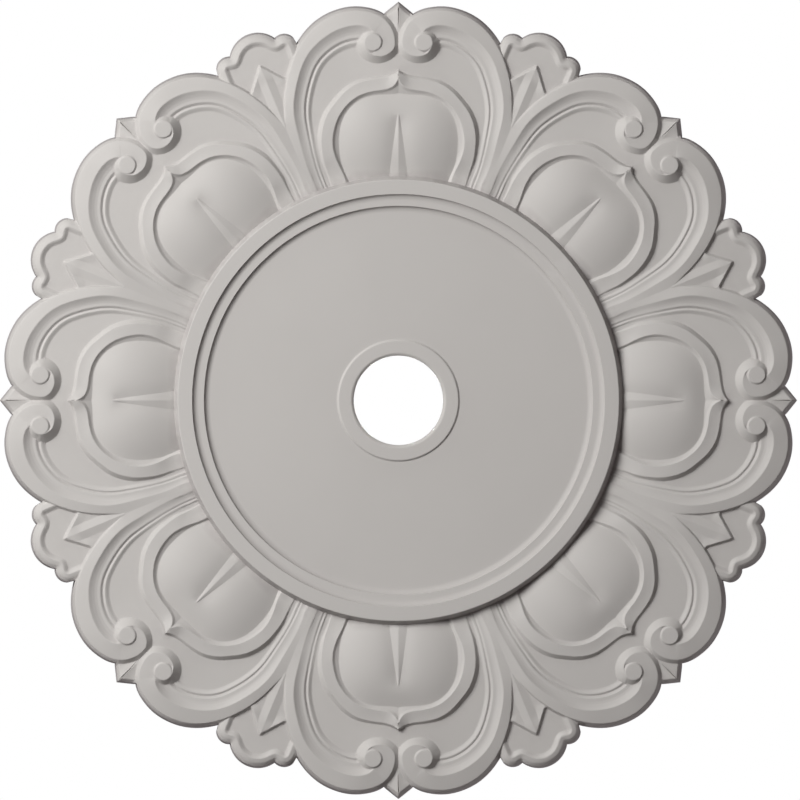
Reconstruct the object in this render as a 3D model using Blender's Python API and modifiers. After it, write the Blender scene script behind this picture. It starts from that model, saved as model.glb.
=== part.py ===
"""Ceiling rose: one moulded piece that hangs face down, its back on the ceiling at z = 0.

A flat round middle with a centre hole lies inside a stepped ring. Eight petals
surround the ring: each is a mirrored pair of scroll bands that curl into volutes
over a tulip-shaped frame, a domed lobe and a dart. A kite and a scalloped leaf
stand between each two petals.

The middle is a turned profile. The petals are drawn as half a petal: the plan
lines of the carving, and a height above the back for every point of the plan.
The half is mirrored, turned eight times round and joined to the middle.
"""
import math

import bmesh
import bpy
import numpy as np
from mathutils import Matrix, Vector
from mathutils.geometry import delaunay_2d_cdt

MM = 0.001

# Turned middle, radii from the rose's centre
HOLE_RADIUS = 46.0 * MM
HOLE_LIP = 2.4 * MM
HOLE_LIP_DEPTH = 1.7 * MM
COLLAR_WIDTH = 15.4 * MM
COLLAR_STEP_RUN = 1.4 * MM
COLLAR_RISE = 1.8 * MM
DISC_RADIUS = 193.1 * MM
COVE_RUN = 6.4 * MM
LEDGE_WIDTH = 5.6 * MM
RING_WIDTH = 14.8 * MM
RING_WALL_RUN = 4.2 * MM
EDGE_BREAK = 0.8 * MM

# Heights of the turned middle above the back
DISC_HEIGHT = 21.2 * MM
LEDGE_RISE = 4.2 * MM
RING_RISE = 4.2 * MM

# Petals
PETAL_COUNT = 8
TIP_RADIUS = 410.0 * MM
CARVING_DEPTH = 14.4 * MM
FIELD_HEIGHT = 21.8 * MM
SIDE_DRAFT = 3.1 * MM
ROOT_OVERLAP = 7.0 * MM
ROOT_DEPTH = 7.2 * MM

# Mesh fineness: spacings in metres, clearances as shares of the spacing
TURNED_SEGMENTS = 64
COVE_SEGMENTS = 2
CURVE_STEPS = 8
ROOT_STEPS = 3
KITE_STEPS = 3
GRID_SPACING = 16.6 * MM
OUTLINE_STEPS = 22
BORDER_CLEARANCE = 0.12
GRID_CLEARANCE = 0.55
BEND_STEP = 0.42
BEND_FINENESS = 4.0
DEPTH_TOLERANCE = 0.01
WELD = 0.01 * MM

ROSE_COLOUR = (0.478, 0.456, 0.425, 1.0)
ROSE_ROUGHNESS = 0.6

# The carving is drawn in millimetres on a petal whose tip is DRAWN_TIP from the
# centre and whose relief is DRAWN_DEPTH deep. x is measured from the petal's axis
# and is negative, y outwards along the axis. A drawn height is above the field.
DRAWN_TIP = 410.0
DRAWN_DEPTH = 12.0
HALF_ANGLE = math.pi / PETAL_COUNT

# Scroll band: its lines wind about the eye of the volute, from the eye outwards.
# A station is (turn in degrees, radius, height) and one number more: BAND_OUTER has
# the slope of the wall outside the band, and BAND_INNER the width of the cove and
# bead that lie inside it. The face starts at a station of BAND_OUTER, and so does
# the shoulder, the stretch that bounds the petal.
EYE = (-26.2, 367.3)
EYE_RADIUS = 8.5
EYE_HEIGHT = 8.2
EYE_WALL_SLOPE = 1.0
EYE_STEP_RADIUS = 9.0
EYE_STEP_START = 275.0
EYE_STEP_END = 450.0
FACE_AT_EYE = 6.6
BAND_OUTER = (
    (0, 8.7, 8.2, 0.85), (45, 9.7, 8.0, 0.85), (90, 13.1, 7.5, 0.85),
    (135, 18.7, 7.0, 0.85), (165, 22.3, 6.5, 0.85), (195, 22.6, 6.1, 0.85),
    (225, 24.3, 5.5, 1.0), (255, 27.6, 4.7, 1.0), (285, 32.7, 4.3, 1.0),
    (315, 43.4, 3.9, 1.1), (345, 61.5, 2.9, 1.6), (375, 86.3, 3.8, 1.6),
    (395, 110.0, 4.0, 1.5), (405, 126.1, 3.0, 1.4), (420, 152.0, 0.4, 1.2),
    (432, 190.0, -2.8, 1.2),
)
BAND_INNER = (
    (277, 13.3, 7.0, 22.5), (300, 19.5, 6.6, 22.5), (327, 30.1, 5.8, 22.5),
    (350, 46.2, 5.1, 22.0), (370, 67.3, 4.9, 21.0), (386, 85.6, 5.3, 20.0),
    (400, 106.2, 5.2, 19.0), (413, 125.2, 3.0, 16.0), (426, 153.9, -0.6, 13.0),
    (434, 177.0, -2.8, 12.0),
)
FACE_STATION = 2
SHOULDER_STATION = 5
BAND_WALL = 3.2

# Where the petal's inner outlines are closed, past its axis and under the ring
AXIS_COVER = 2.0
ROOT_RADIUS = 150.0

# Cove and bead inside the band, as shares of their width from the band's inner line
COVE_SHARE = 0.42
FLOOR_SHARE = 0.55
GROOVE_SHARE = 0.68
BEAD_SHARE = 0.77
FLOOR_RISE = 2.4
GROOVE_RISE = 0.8
BEAD_RISE = 1.75
COVE_POWER = 1.6

# The field rises towards the petal's axis and sinks towards the ring
AXIS_RISE = 1.7
AXIS_RISE_WIDTH = 62.0
SINK_DEPTH = 4.0
SINK_START = 278.0
SINK_END = 229.0

# Tulip frame: outer and inner line as (x, y, height)
FRAME_OUTER = (
    (-66.3, 211, -4.0), (-71.8, 231, -2.2), (-76.9, 247, 1.2), (-79.2, 267, 3.6),
    (-77.0, 283, 4.3), (-72.0, 295.5, 4.3), (-63.5, 307, 4.1), (-54.5, 317, 3.9),
    (-42.5, 325, 3.7), (-28.0, 329, 3.6), (-13.5, 331, 3.9), (-5.5, 333.6, 5.0),
    (0.0, 337.4, 7.0),
)
FRAME_INNER = (
    (-49.8, 211, -4.0), (-56.1, 231, -1.8), (-62.9, 245, 1.2), (-67.0, 258, 3.2),
    (-67.3, 270, 4.1), (-63.6, 286, 4.7), (-55.9, 299.5, 4.9), (-44.0, 310.5, 4.9),
    (-30.0, 316.3, 4.8), (-14.0, 318.8, 4.8), (-6.5, 321.4, 5.4), (-2.4, 325.6, 6.6),
    (0.0, 330.5, 7.6),
)
FRAME_RISE_START = 0.45
FRAME_WALL_SLOPE = 1.0
FRAME_WALL = 4.0
FRAME_COVE_WIDTH = 5.5
FRAME_COVE_DEPTH = 3.0
FRAME_FOOT_SLOPE = 0.38

# Domed lobe inside the frame
DOME_PEAK = (-22.6, 279.0, 6.5)
DOME_FALL_OUT = (3.5, 30.0)
DOME_FALL_IN = (6.1, 45.0)
DOME_FALL_SIDE = (4.2, 34.0)
DOME_FALL_AXIS = (1.9, 17.5)
DOME_VALLEY_END = 301.0
DOME_FOOT = -5.2

# Dart on the axis, from its tip down to the ring
DART_TIP = 297.0
DART_BASE = 229.0
DART_HALF_WIDTH = 12.0
DART_RISE = 3.4

# Kite between the petals and leaf behind it. Here x is measured from the line
# between two petals and y outwards along that line.
KITE_TIP = (0.0, 370.0)
KITE_CORNER = (17.0, 349.0)
KITE_LOW = (0.0, 308.0)
KITE_TROUGH = 2.0
KITE_RIDGE = 3.6
KITE_RIDGE_WIDTH = 8.0
KITE_LIP = 3.2
KITE_LIP_WIDTH = 6.0
KITE_WALL_SLOPE = 1.2
KITE_WALL = 2.4
LEAF_LOBES = ((0.0, 375.2, 29.2), (30.5, 378.8, 13.1))
LEAF_EDGE = -0.6
LEAF_RIM = 2.7
LEAF_FIELD = 0.3
LEAF_RIM_CREST = 8.0
LEAF_RIM_WIDTH = 13.2
LEAF_WALL_SLOPE = 2.0

# Pointed tip on the axis, between the volutes
POINT_TIP = (0.0, 407.5)
POINT_SIDE = (-13.7, 396.4)
POINT_SHOULDER = (-27.4, 380.0)
POINT_REACH = 21.9
POINT_RIDGE = 2.4
POINT_SIDE_FALL = 1.4
POINT_CHAMFER = 3.2
POINT_CHAMFER_FALL = 3.2
POINT_WALL_SLOPE = 2.0


def smooth(share):
    """Ease from 0 to 1 as share goes from 0 to 1."""
    share = np.clip(share, 0.0, 1.0)
    return share * share * (3.0 - 2.0 * share)


def between(start, end, share):
    """Blend two heights."""
    return start + (end - start) * share


def flowing_line(stations, steps):
    """Catmull-Rom curve through rows of numbers, with steps points in each span."""
    rows = np.array(stations, dtype=float)
    rows = np.vstack([2 * rows[0] - rows[1], rows, 2 * rows[-1] - rows[-2]])
    t = np.arange(steps)[:, None] / steps
    spans = []
    for before, start, end, after in zip(rows, rows[1:], rows[2:], rows[3:]):
        bend = 2 * before - 5 * start + 4 * end - after
        twist = 3 * (start - end) + after - before
        spans.append(0.5 * (2 * start + (end - before) * t + bend * t ** 2 + twist * t ** 3))
    return np.vstack(spans + [rows[-2:-1]])


def scroll_line(stations, steps):
    """Line that winds about the volute's eye, as rows of x, y, height and the rest."""
    rows = np.array(stations, dtype=float)
    rows[:, 1] = np.log(rows[:, 1])
    rows = flowing_line(rows, steps)
    angle = np.radians(180.0 + rows[:, 0])
    radius = np.exp(rows[:, 1])
    plan = np.stack([EYE[0] + radius * np.cos(angle), EYE[1] + radius * np.sin(angle)], axis=1)
    return np.hstack([plan, rows[:, 2:]])


def nearest(points, line):
    """Distance of each point from a line, and the line's own row at the nearest place."""
    start = line[:-1]
    run = line[1:] - start
    offset = points[:, None, :] - start[None, :, :2]
    along = (offset * run[None, :, :2]).sum(axis=2) / (run[:, :2] ** 2).sum(axis=1)
    along = np.clip(along, 0.0, 1.0)
    gap = np.linalg.norm(offset - along[:, :, None] * run[None, :, :2], axis=2)
    segment = gap.argmin(axis=1)
    rows = np.arange(len(points))
    share = along[rows, segment][:, None]
    return gap[rows, segment], start[segment] + share * run[segment]


def inside(points, corners):
    """Whether each point lies inside a closed outline."""
    start = corners[:, :2]
    end = np.roll(start, -1, axis=0)
    x = points[:, 0:1]
    y = points[:, 1:2]
    spans = (start[:, 1] > y) != (end[:, 1] > y)
    rise = np.where(end[:, 1] == start[:, 1], 1.0, end[:, 1] - start[:, 1])
    crossing = start[:, 0] + (y - start[:, 1]) * (end[:, 0] - start[:, 0]) / rise
    return (spans & (x < crossing)).sum(axis=1) % 2 == 1


def offset_line(line, distance):
    """Plan line at a distance to the left of a line, which may vary along it."""
    run = np.gradient(line[:, :2], axis=0)
    normal = np.stack([-run[:, 1], run[:, 0]], axis=1)
    normal /= np.linalg.norm(normal, axis=1)[:, None]
    return line[:, :2] + normal * np.reshape(distance, (-1, 1))


def resample(line, spacing):
    """Points along a plan line at about the spacing given, closer where it bends."""
    line = line[:, :2]
    run = np.diff(line, axis=0)
    length = np.linalg.norm(run, axis=1)
    heading = np.unwrap(np.arctan2(run[:, 1], run[:, 0]))
    bend = np.abs(np.gradient(heading)) / length
    weight = length * np.maximum(1.0 / spacing, np.minimum(bend / BEND_STEP, BEND_FINENESS / spacing))
    mark = np.concatenate([[0.0], np.cumsum(weight)])
    count = max(2, int(round(mark[-1])) + 1)
    wanted = np.linspace(0.0, mark[-1], count)
    return np.stack([np.interp(wanted, mark, line[:, axis]) for axis in (0, 1)], axis=1)


def leaf_frame(points):
    """Plan points measured from the line between two petals."""
    across = points[:, 0] * math.cos(HALF_ANGLE) + points[:, 1] * math.sin(HALF_ANGLE)
    along = points[:, 1] * math.cos(HALF_ANGLE) - points[:, 0] * math.sin(HALF_ANGLE)
    return np.stack([across, along], axis=1)


def petal_frame(points):
    """Plan points of the leaf's frame measured from the petal's axis."""
    points = np.atleast_2d(np.array(points, dtype=float))
    x = points[:, 0] * math.cos(HALF_ANGLE) - points[:, 1] * math.sin(HALF_ANGLE)
    y = points[:, 0] * math.sin(HALF_ANGLE) + points[:, 1] * math.cos(HALF_ANGLE)
    return np.stack([x, y], axis=1)


class HalfPetal:
    """Plan lines and heights of half a petal, drawn in millimetres."""

    def __init__(self, steps):
        self.band_outer = scroll_line(BAND_OUTER, steps)
        self.band_inner = scroll_line(BAND_INNER, steps)
        self.frame_outer = flowing_line(FRAME_OUTER, steps)
        self.frame_inner = flowing_line(FRAME_INNER, steps)
        turn = np.radians(np.linspace(EYE_STEP_START, EYE_STEP_END, 4 * steps))
        self.eye_step = np.stack([
            EYE[0] + EYE_STEP_RADIUS * np.cos(turn),
            EYE[1] + EYE_STEP_RADIUS * np.sin(turn),
            np.full(turn.shape, FACE_AT_EYE),
        ], axis=1)
        self.face_inner = np.vstack([self.eye_step, self.band_inner[:, :3]])
        face_outer = self.band_outer[FACE_STATION * steps:, :2]
        self.face_outline = np.vstack([face_outer, self.face_inner[::-1, :2]])
        shoulder = self.band_outer[SHOULDER_STATION * steps:, :2]
        closing = [[AXIS_COVER, ROOT_RADIUS], [AXIS_COVER, shoulder[0][1]]]
        self.petal_outline = np.vstack([shoulder, closing])
        self.frame_outline = np.vstack([self.frame_outer, self.frame_inner[::-1]])
        start, end = self.frame_inner[0], self.frame_inner[-1]
        closing = [[AXIS_COVER, end[1]], [AXIS_COVER, ROOT_RADIUS], [start[0], ROOT_RADIUS]]
        self.lobe_outline = np.vstack([self.frame_inner[:, :2], closing])
        self.kite = petal_frame(np.linspace(KITE_TIP, KITE_CORNER, KITE_STEPS + 1))
        self.point = np.array((POINT_TIP, POINT_SIDE, POINT_SHOULDER))
        self.point_outline = np.vstack([self.point, [[0.0, POINT_SHOULDER[1]]]])
        self.leaf_edge = self.scalloped_edge(steps)
        self.leaf_outline = np.vstack([self.leaf_edge, [[0.0, KITE_LOW[1]]]])

    def scalloped_edge(self, steps):
        """Edge of half the leaf, in its own frame: a large lobe, a small one, a side."""
        (_, large_y, large), (small_x, small_y, small) = LEAF_LOBES
        span = math.hypot(small_x, small_y - large_y)
        lean = math.atan2(small_x, small_y - large_y)
        to_cusp = math.acos((span ** 2 + large ** 2 - small ** 2) / (2.0 * span * large))
        from_cusp = math.acos((span ** 2 + small ** 2 - large ** 2) / (2.0 * span * small))
        turn = np.linspace(0.0, lean - to_cusp, steps)[:, None]
        large_arc = np.hstack([large * np.sin(turn), large_y + large * np.cos(turn)])
        turn = np.linspace(lean - math.pi + from_cusp, 0.5 * math.pi, steps)[1:, None]
        small_arc = np.hstack([small_x + small * np.sin(turn), small_y + small * np.cos(turn)])
        return np.vstack([large_arc, small_arc, [[small_x + small, KITE_LOW[1]]]])

    def field(self, points):
        """Flat ground of the petal."""
        axis_share = 1.0 - np.abs(points[:, 0]) / AXIS_RISE_WIDTH
        reach = np.linalg.norm(points, axis=1)
        sink = smooth((SINK_START - reach) / (SINK_START - SINK_END))
        return AXIS_RISE * smooth(axis_share) - SINK_DEPTH * sink

    def band(self, points):
        """Tilted face of the scroll band and the wall outside it."""
        outer_gap, outer = nearest(points, self.band_outer)
        inner_gap, inner = nearest(points, self.face_inner)
        share = outer_gap / np.maximum(outer_gap + inner_gap, 1e-6)
        face = between(outer[:, 2], inner[:, 2], share)
        wall = outer[:, 2] - outer[:, 3] * outer_gap
        return np.where(inside(points, self.face_outline), face, wall)

    def moulding(self, points):
        """Cove, floor and bead inside the band, down to the field."""
        gap, line = nearest(points, self.band_inner)
        share = gap / line[:, 3]
        ground = self.field(points)
        room = np.clip(line[:, 2] - ground, 0.0, FLOOR_RISE * 2)
        scale = room / (FLOOR_RISE * 2)
        floor = FLOOR_RISE * scale
        groove = GROOVE_RISE * scale
        bead = BEAD_RISE * scale
        cove = np.clip(1.0 - share / COVE_SHARE, 0.0, 1.0) ** COVE_POWER
        height = floor + (line[:, 2] - ground - floor) * cove
        step = smooth((share - FLOOR_SHARE) / (GROOVE_SHARE - FLOOR_SHARE))
        height = np.where(share > FLOOR_SHARE, between(floor, groove, step), height)
        step = smooth((share - GROOVE_SHARE) / (BEAD_SHARE - GROOVE_SHARE))
        height = np.where(share > GROOVE_SHARE, between(groove, bead, step), height)
        step = smooth((share - BEAD_SHARE) / (1.0 - BEAD_SHARE))
        height = np.where(share > BEAD_SHARE, between(bead, 0.0, step), height)
        return ground + height

    def eye(self, points):
        """Round button in the volute."""
        gap = np.hypot(points[:, 0] - EYE[0], points[:, 1] - EYE[1])
        return EYE_HEIGHT - EYE_WALL_SLOPE * np.maximum(gap - EYE_RADIUS, 0.0)

    def frame(self, points):
        """Tulip frame: flat face, raised inner edge, and the slopes on both sides."""
        outer_gap, outer = nearest(points, self.frame_outer)
        inner_gap, inner = nearest(points, self.frame_inner)
        share = outer_gap / np.maximum(outer_gap + inner_gap, 1e-6)
        rise = smooth((share - FRAME_RISE_START) / (1.0 - FRAME_RISE_START))
        face = between(outer[:, 2], inner[:, 2], rise)
        cove = 1.0 - np.clip(1.0 - inner_gap / FRAME_COVE_WIDTH, 0.0, 1.0) ** 2
        foot = FRAME_FOOT_SLOPE * np.maximum(inner_gap - FRAME_COVE_WIDTH, 0.0)
        slopes = np.maximum(
            outer[:, 2] - FRAME_WALL_SLOPE * outer_gap,
            inner[:, 2] - FRAME_COVE_DEPTH * cove - foot,
        )
        return np.where(inside(points, self.frame_outline), face, slopes)

    def dome(self, points):
        """Domed lobe inside the frame, with its valley beside the axis."""
        side = DOME_PEAK[0] - points[:, 0]
        out = points[:, 1] - DOME_PEAK[1]
        fall_out = DOME_FALL_OUT[0] * (np.maximum(out, 0.0) / DOME_FALL_OUT[1]) ** 2
        fall_in = DOME_FALL_IN[0] * (np.maximum(-out, 0.0) / DOME_FALL_IN[1]) ** 2
        fall_side = DOME_FALL_SIDE[0] * (np.maximum(side, 0.0) / DOME_FALL_SIDE[1]) ** 2
        valley = smooth((DOME_VALLEY_END - points[:, 1]) / (DOME_VALLEY_END - DOME_PEAK[1]))
        fall_axis = DOME_FALL_AXIS[0] * (np.maximum(-side, 0.0) / DOME_FALL_AXIS[1]) ** 2
        height = DOME_PEAK[2] - fall_out - fall_in - fall_side - fall_axis * valley
        return np.maximum(height, DOME_FOOT)

    def dart(self, points):
        """Rounded dart on the axis, which follows the dome down to the ring."""
        length = (DART_TIP - points[:, 1]) / (DART_TIP - DART_BASE)
        width = DART_HALF_WIDTH * np.maximum(length, 1e-3)
        across = np.abs(points[:, 0]) / width
        round_share = np.sqrt(np.clip(1.0 - across ** 2, 0.0, 1.0))
        axis = np.stack([np.zeros(len(points)), points[:, 1]], axis=1)
        rise = DART_RISE * np.sqrt(np.clip(length, 0.0, 1.0)) * round_share
        ridge = self.dome(axis) + rise
        return np.where((length > 0.0) & (across < 1.0), ridge, DOME_FOOT)

    def kite_relief(self, points):
        """Kite: a ridge, troughs beside it and a raised lip, inside short walls."""
        local = leaf_frame(points)
        edge_gap, _ = nearest(points, self.kite)
        ridge_share = np.clip(1.0 - np.abs(local[:, 0]) / KITE_RIDGE_WIDTH, 0.0, 1.0)
        lip_share = smooth(1.0 - edge_gap / KITE_LIP_WIDTH)
        top = KITE_TROUGH + (KITE_RIDGE - KITE_TROUGH) * ridge_share
        top = np.maximum(top, between(KITE_TROUGH, KITE_LIP, lip_share))
        run = (KITE_TIP[1] - KITE_CORNER[1]) / KITE_CORNER[0]
        within = local[:, 1] < KITE_TIP[1] - run * np.abs(local[:, 0])
        covered = within | (local[:, 1] < KITE_CORNER[1])
        return np.where(covered, top, KITE_LIP - KITE_WALL_SLOPE * edge_gap)

    def leaf(self, points):
        """Leaf behind the kite, with a rounded rim along its edge."""
        local = leaf_frame(points)
        local[:, 0] = np.abs(local[:, 0])
        depth, _ = nearest(local, self.leaf_edge)
        rise = np.sin(0.5 * math.pi * np.clip(depth / LEAF_RIM_CREST, 0.0, 1.0))
        fall = smooth((depth - LEAF_RIM_CREST) / (LEAF_RIM_WIDTH - LEAF_RIM_CREST))
        height = between(LEAF_EDGE, LEAF_RIM, rise)
        height = np.where(depth > LEAF_RIM_CREST, between(LEAF_RIM, LEAF_FIELD, fall), height)
        wall = LEAF_EDGE - LEAF_WALL_SLOPE * depth
        return np.where(inside(local, self.leaf_outline), height, wall)

    def leaf_line(self, depth):
        """Plan line at an even depth inside the leaf's edge."""
        line = offset_line(self.leaf_edge, -depth)
        gap, _ = nearest(line, self.leaf_edge)
        return petal_frame(line[gap > (1.0 - DEPTH_TOLERANCE) * depth])

    def pointed_tip(self, points):
        """Small pyramid at the tip of the petal."""
        edge_gap, _ = nearest(points, self.point)
        side_share = np.abs(points[:, 0] / POINT_SIDE[0])
        top = POINT_RIDGE - POINT_SIDE_FALL * np.clip(side_share * 2.0, 0.0, 1.0)
        chamfer = POINT_CHAMFER_FALL * np.clip(1.0 - edge_gap / POINT_CHAMFER, 0.0, 1.0)
        wall = POINT_CHAMFER_FALL + POINT_WALL_SLOPE * edge_gap
        covered = inside(points, self.point_outline) | (points[:, 1] < POINT_SHOULDER[1])
        return top - np.where(covered, chamfer, wall)

    def heights(self, points):
        """Height of the carving above the field, the highest form at each point."""
        in_petal = inside(points, self.petal_outline)
        in_face = inside(points, self.face_outline)
        height = np.maximum(self.band(points), self.eye(points))
        ground = np.maximum(self.field(points), self.frame(points))
        ground = np.maximum(ground, np.where(in_face, ground, self.moulding(points)))
        in_frame = in_petal & inside(points, self.lobe_outline)
        lobe = np.maximum(self.dome(points), self.dart(points))
        ground = np.where(in_frame, np.maximum(lobe, self.frame(points)), ground)
        between_petals = np.maximum(self.kite_relief(points), self.leaf(points))
        near_axis = points[:, 0] > -POINT_REACH
        behind = np.where(near_axis, self.pointed_tip(points), between_petals)
        return np.maximum(height, np.where(in_petal, ground, behind))

    def reach(self, angles):
        """Radius of the rose's edge in each direction, and which form makes it."""
        band_edge = offset_line(self.band_outer, -BAND_WALL)
        turn = np.linspace(-math.pi, math.pi, 12 * CURVE_STEPS + 1)[:, None]
        lobes = [
            petal_frame(np.hstack([x + radius * np.sin(turn), y + radius * np.cos(turn)]))
            for x, y, radius in LEAF_LOBES
        ]
        forms = [band_edge, self.point] + lobes
        return np.stack([far_crossing(angles, form) for form in forms])

    def edge(self, steps):
        """Outline of the half petal from its tip round to the leaf."""
        angles = np.linspace(0.0, HALF_ANGLE, steps)
        winner = self.reach(angles).argmax(axis=0)
        corners = []
        for index in np.flatnonzero(np.diff(winner)):
            low, high = angles[index], angles[index + 1]
            for _ in range(24):
                middle = 0.5 * (low + high)
                same = self.reach(np.array([middle])).argmax() == winner[index]
                low, high = (middle, high) if same else (low, middle)
            corners.append(0.5 * (low + high))
        clear = 0.35 * angles[1]
        kept = [a for a in angles if all(abs(a - c) > clear for c in corners)]
        angles = np.array(sorted(kept + corners))
        radius = self.reach(angles).max(axis=0)
        return np.stack([-radius * np.sin(angles), radius * np.cos(angles)], axis=1)

    def lines(self, spacing):
        """Plan lines along which the carving changes its slope."""
        width = self.band_inner[:, 3]
        folds = [
            self.band_outer, self.band_inner, self.eye_step, self.frame_outer, self.frame_inner,
            offset_line(self.band_inner, width * COVE_SHARE),
            offset_line(self.band_inner, width * 0.5 * (FLOOR_SHARE + BEAD_SHARE)),
            offset_line(self.band_inner, width),
            offset_line(self.frame_outer, FRAME_WALL),
            offset_line(self.frame_inner, -FRAME_COVE_WIDTH),
            self.kite,
            offset_line(self.kite, KITE_WALL),
            self.leaf_line(LEAF_RIM_CREST),
            self.leaf_line(LEAF_RIM_WIDTH),
        ]
        drawn = [resample(fold, spacing) for fold in folds]
        turn = np.radians(np.arange(0.0, 361.0, 30.0))
        drawn.append(np.stack([
            EYE[0] + EYE_RADIUS * np.cos(turn),
            EYE[1] + EYE_RADIUS * np.sin(turn),
        ], axis=1))
        return drawn


def far_crossing(angles, line):
    """Greatest radius at which a ray in each direction meets a plan line, or 0."""
    ray = np.stack([-np.sin(angles), np.cos(angles)], axis=1)
    start = line[:-1, :2]
    run = np.diff(line[:, :2], axis=0)
    across = ray[:, None, 0] * run[None, :, 1] - ray[:, None, 1] * run[None, :, 0]
    across = np.where(np.abs(across) < 1e-9, 1e-9, across)
    radius = (start[:, 0] * run[:, 1] - start[:, 1] * run[:, 0]) / across
    share = (start[:, 0] * ray[:, None, 1] - start[:, 1] * ray[:, None, 0]) / across
    met = (share >= 0.0) & (share <= 1.0)
    return np.where(met, radius, 0.0).max(axis=1)


def snapped(points):
    """Plan points with those beside the petal's two mirror lines put on the lines."""
    points = points.copy()
    near = WELD / MM
    points[np.abs(points[:, 0]) < near, 0] = 0.0
    local = leaf_frame(points)
    beside = np.abs(local[:, 0]) < near
    local[beside, 0] = 0.0
    points[beside] = petal_frame(local)[beside]
    return points


def triangulate(points, edges):
    """Delaunay triangles of plan points that keep the given edges."""
    plan = [Vector(point) for point in points]
    result = delaunay_2d_cdt(plan, edges, [], 0, 1e-4)
    found = np.array([tuple(vertex) for vertex in result[0]])
    return found, np.array([face for face in result[2] if len(face) == 3])


def spaced(start, end, spacing):
    """Points from start to end, no further apart than the spacing."""
    return np.linspace(start, end, int(math.dist(start, end) / spacing) + 2)


def half_petal_plan(shape, root_radius, spacing):
    """Vertices and triangles of the half petal's plan, from the ring to its edge."""
    edge = shape.edge(OUTLINE_STEPS)
    angles = np.linspace(HALF_ANGLE, 0.0, ROOT_STEPS + 1)
    root = root_radius * np.stack([-np.sin(angles), np.cos(angles)], axis=1)
    kite_tip = shape.kite[0]
    valley = np.vstack([spaced(edge[-1], kite_tip, spacing)[:-1], spaced(kite_tip, root[0], spacing)])
    axis = spaced(root[-1], edge[0], spacing)
    border = np.vstack([edge, valley[1:-1], root, axis[1:-1]])
    points = [border]
    edges = [(i, (i + 1) % len(border)) for i in range(len(border))]
    count = len(border)
    for line in shape.lines(spacing):
        gap, _ = nearest(line, np.vstack([border, border[:1]]))
        line = line[gap > BORDER_CLEARANCE * spacing]
        points.append(line)
        edges += [(count + i, count + i + 1) for i in range(len(line) - 1)]
        count += len(line)
    placed = np.vstack(points)
    rows = np.arange(root_radius * math.cos(HALF_ANGLE), DRAWN_TIP, spacing * math.sin(math.pi / 3))
    columns = np.arange(0.0, DRAWN_TIP * math.sin(HALF_ANGLE) + spacing, spacing)
    grid = np.array([
        (-x - 0.5 * spacing * (index % 2), y) for index, y in enumerate(rows) for x in columns
    ])
    gap = np.linalg.norm(grid[:, None] - placed[None], axis=2).min(axis=1)
    grid = grid[(gap > GRID_CLEARANCE * spacing) & inside(grid, border)]
    found, faces = triangulate(np.vstack([placed, grid]), edges)
    middle = found[faces].mean(axis=1)
    faces = faces[inside(middle, border)]
    used, faces = np.unique(faces, return_inverse=True)
    return snapped(found[used]), faces.reshape(-1, 3)


def border_chains(points, faces):
    """Edges of the plan that lie on neither mirror line."""
    sides = np.vstack([faces[:, [0, 1]], faces[:, [1, 2]], faces[:, [2, 0]]])
    key = np.sort(sides, axis=1)
    _, first, counts = np.unique(key, axis=0, return_index=True, return_counts=True)
    single = sides[first[counts == 1]]
    on_axis = np.abs(points[:, 0]) < 1e-6
    on_valley = np.abs(leaf_frame(points)[:, 0]) < 1e-4
    mirrored = on_axis[single].all(axis=1) | on_valley[single].all(axis=1)
    return single[~mirrored]


def half_petal_mesh(root_radius, spacing):
    """Open half petal in metres, face down: carving, edge wall, root wall and back."""
    plan_scale = TIP_RADIUS / DRAWN_TIP
    depth_scale = CARVING_DEPTH / DRAWN_DEPTH
    shape = HalfPetal(CURVE_STEPS)
    points, faces = half_petal_plan(shape, root_radius / plan_scale, spacing / plan_scale)
    heights = FIELD_HEIGHT + shape.heights(points) * depth_scale
    points = points * plan_scale
    chains = border_chains(points, faces)
    rim = np.unique(chains)
    reach = np.linalg.norm(points[rim], axis=1)
    flare = np.where(reach > root_radius + ROOT_OVERLAP, 1.0 + SIDE_DRAFT / reach, 1.0)

    mesh = bmesh.new()
    top = [mesh.verts.new((x, y, -z)) for (x, y), z in zip(points, heights)]
    back = {}
    for index, (x, y), grow in zip(rim, points[rim], flare):
        back[index] = mesh.verts.new((x * grow, y * grow, 0.0))
    for face in faces:
        mesh.faces.new([top[index] for index in face])
    for start, end in chains:
        mesh.faces.new((top[start], top[end], back[end], back[start]))
    ring = np.array([back[index].co.xy for index in rim])
    outline = walk_round(ring)
    loop = list(zip(outline, outline[1:] + outline[:1]))
    found, flat = triangulate(ring / MM, loop)
    flat = flat[inside(found[flat].mean(axis=1), ring[outline] / MM)]
    for face in flat:
        mesh.faces.new([back[rim[index]] for index in face])
    return mesh


def walk_round(points):
    """Indices of the back's points in order: out along the edge, home along the root."""
    around = np.arctan2(-points[:, 0], points[:, 1])
    reach = np.linalg.norm(points, axis=1)
    outer = reach > 0.5 * (reach.min() + reach.max())
    out = sorted(np.flatnonzero(outer), key=lambda index: around[index])
    home = sorted(np.flatnonzero(~outer), key=lambda index: -around[index])
    return out + home


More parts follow.
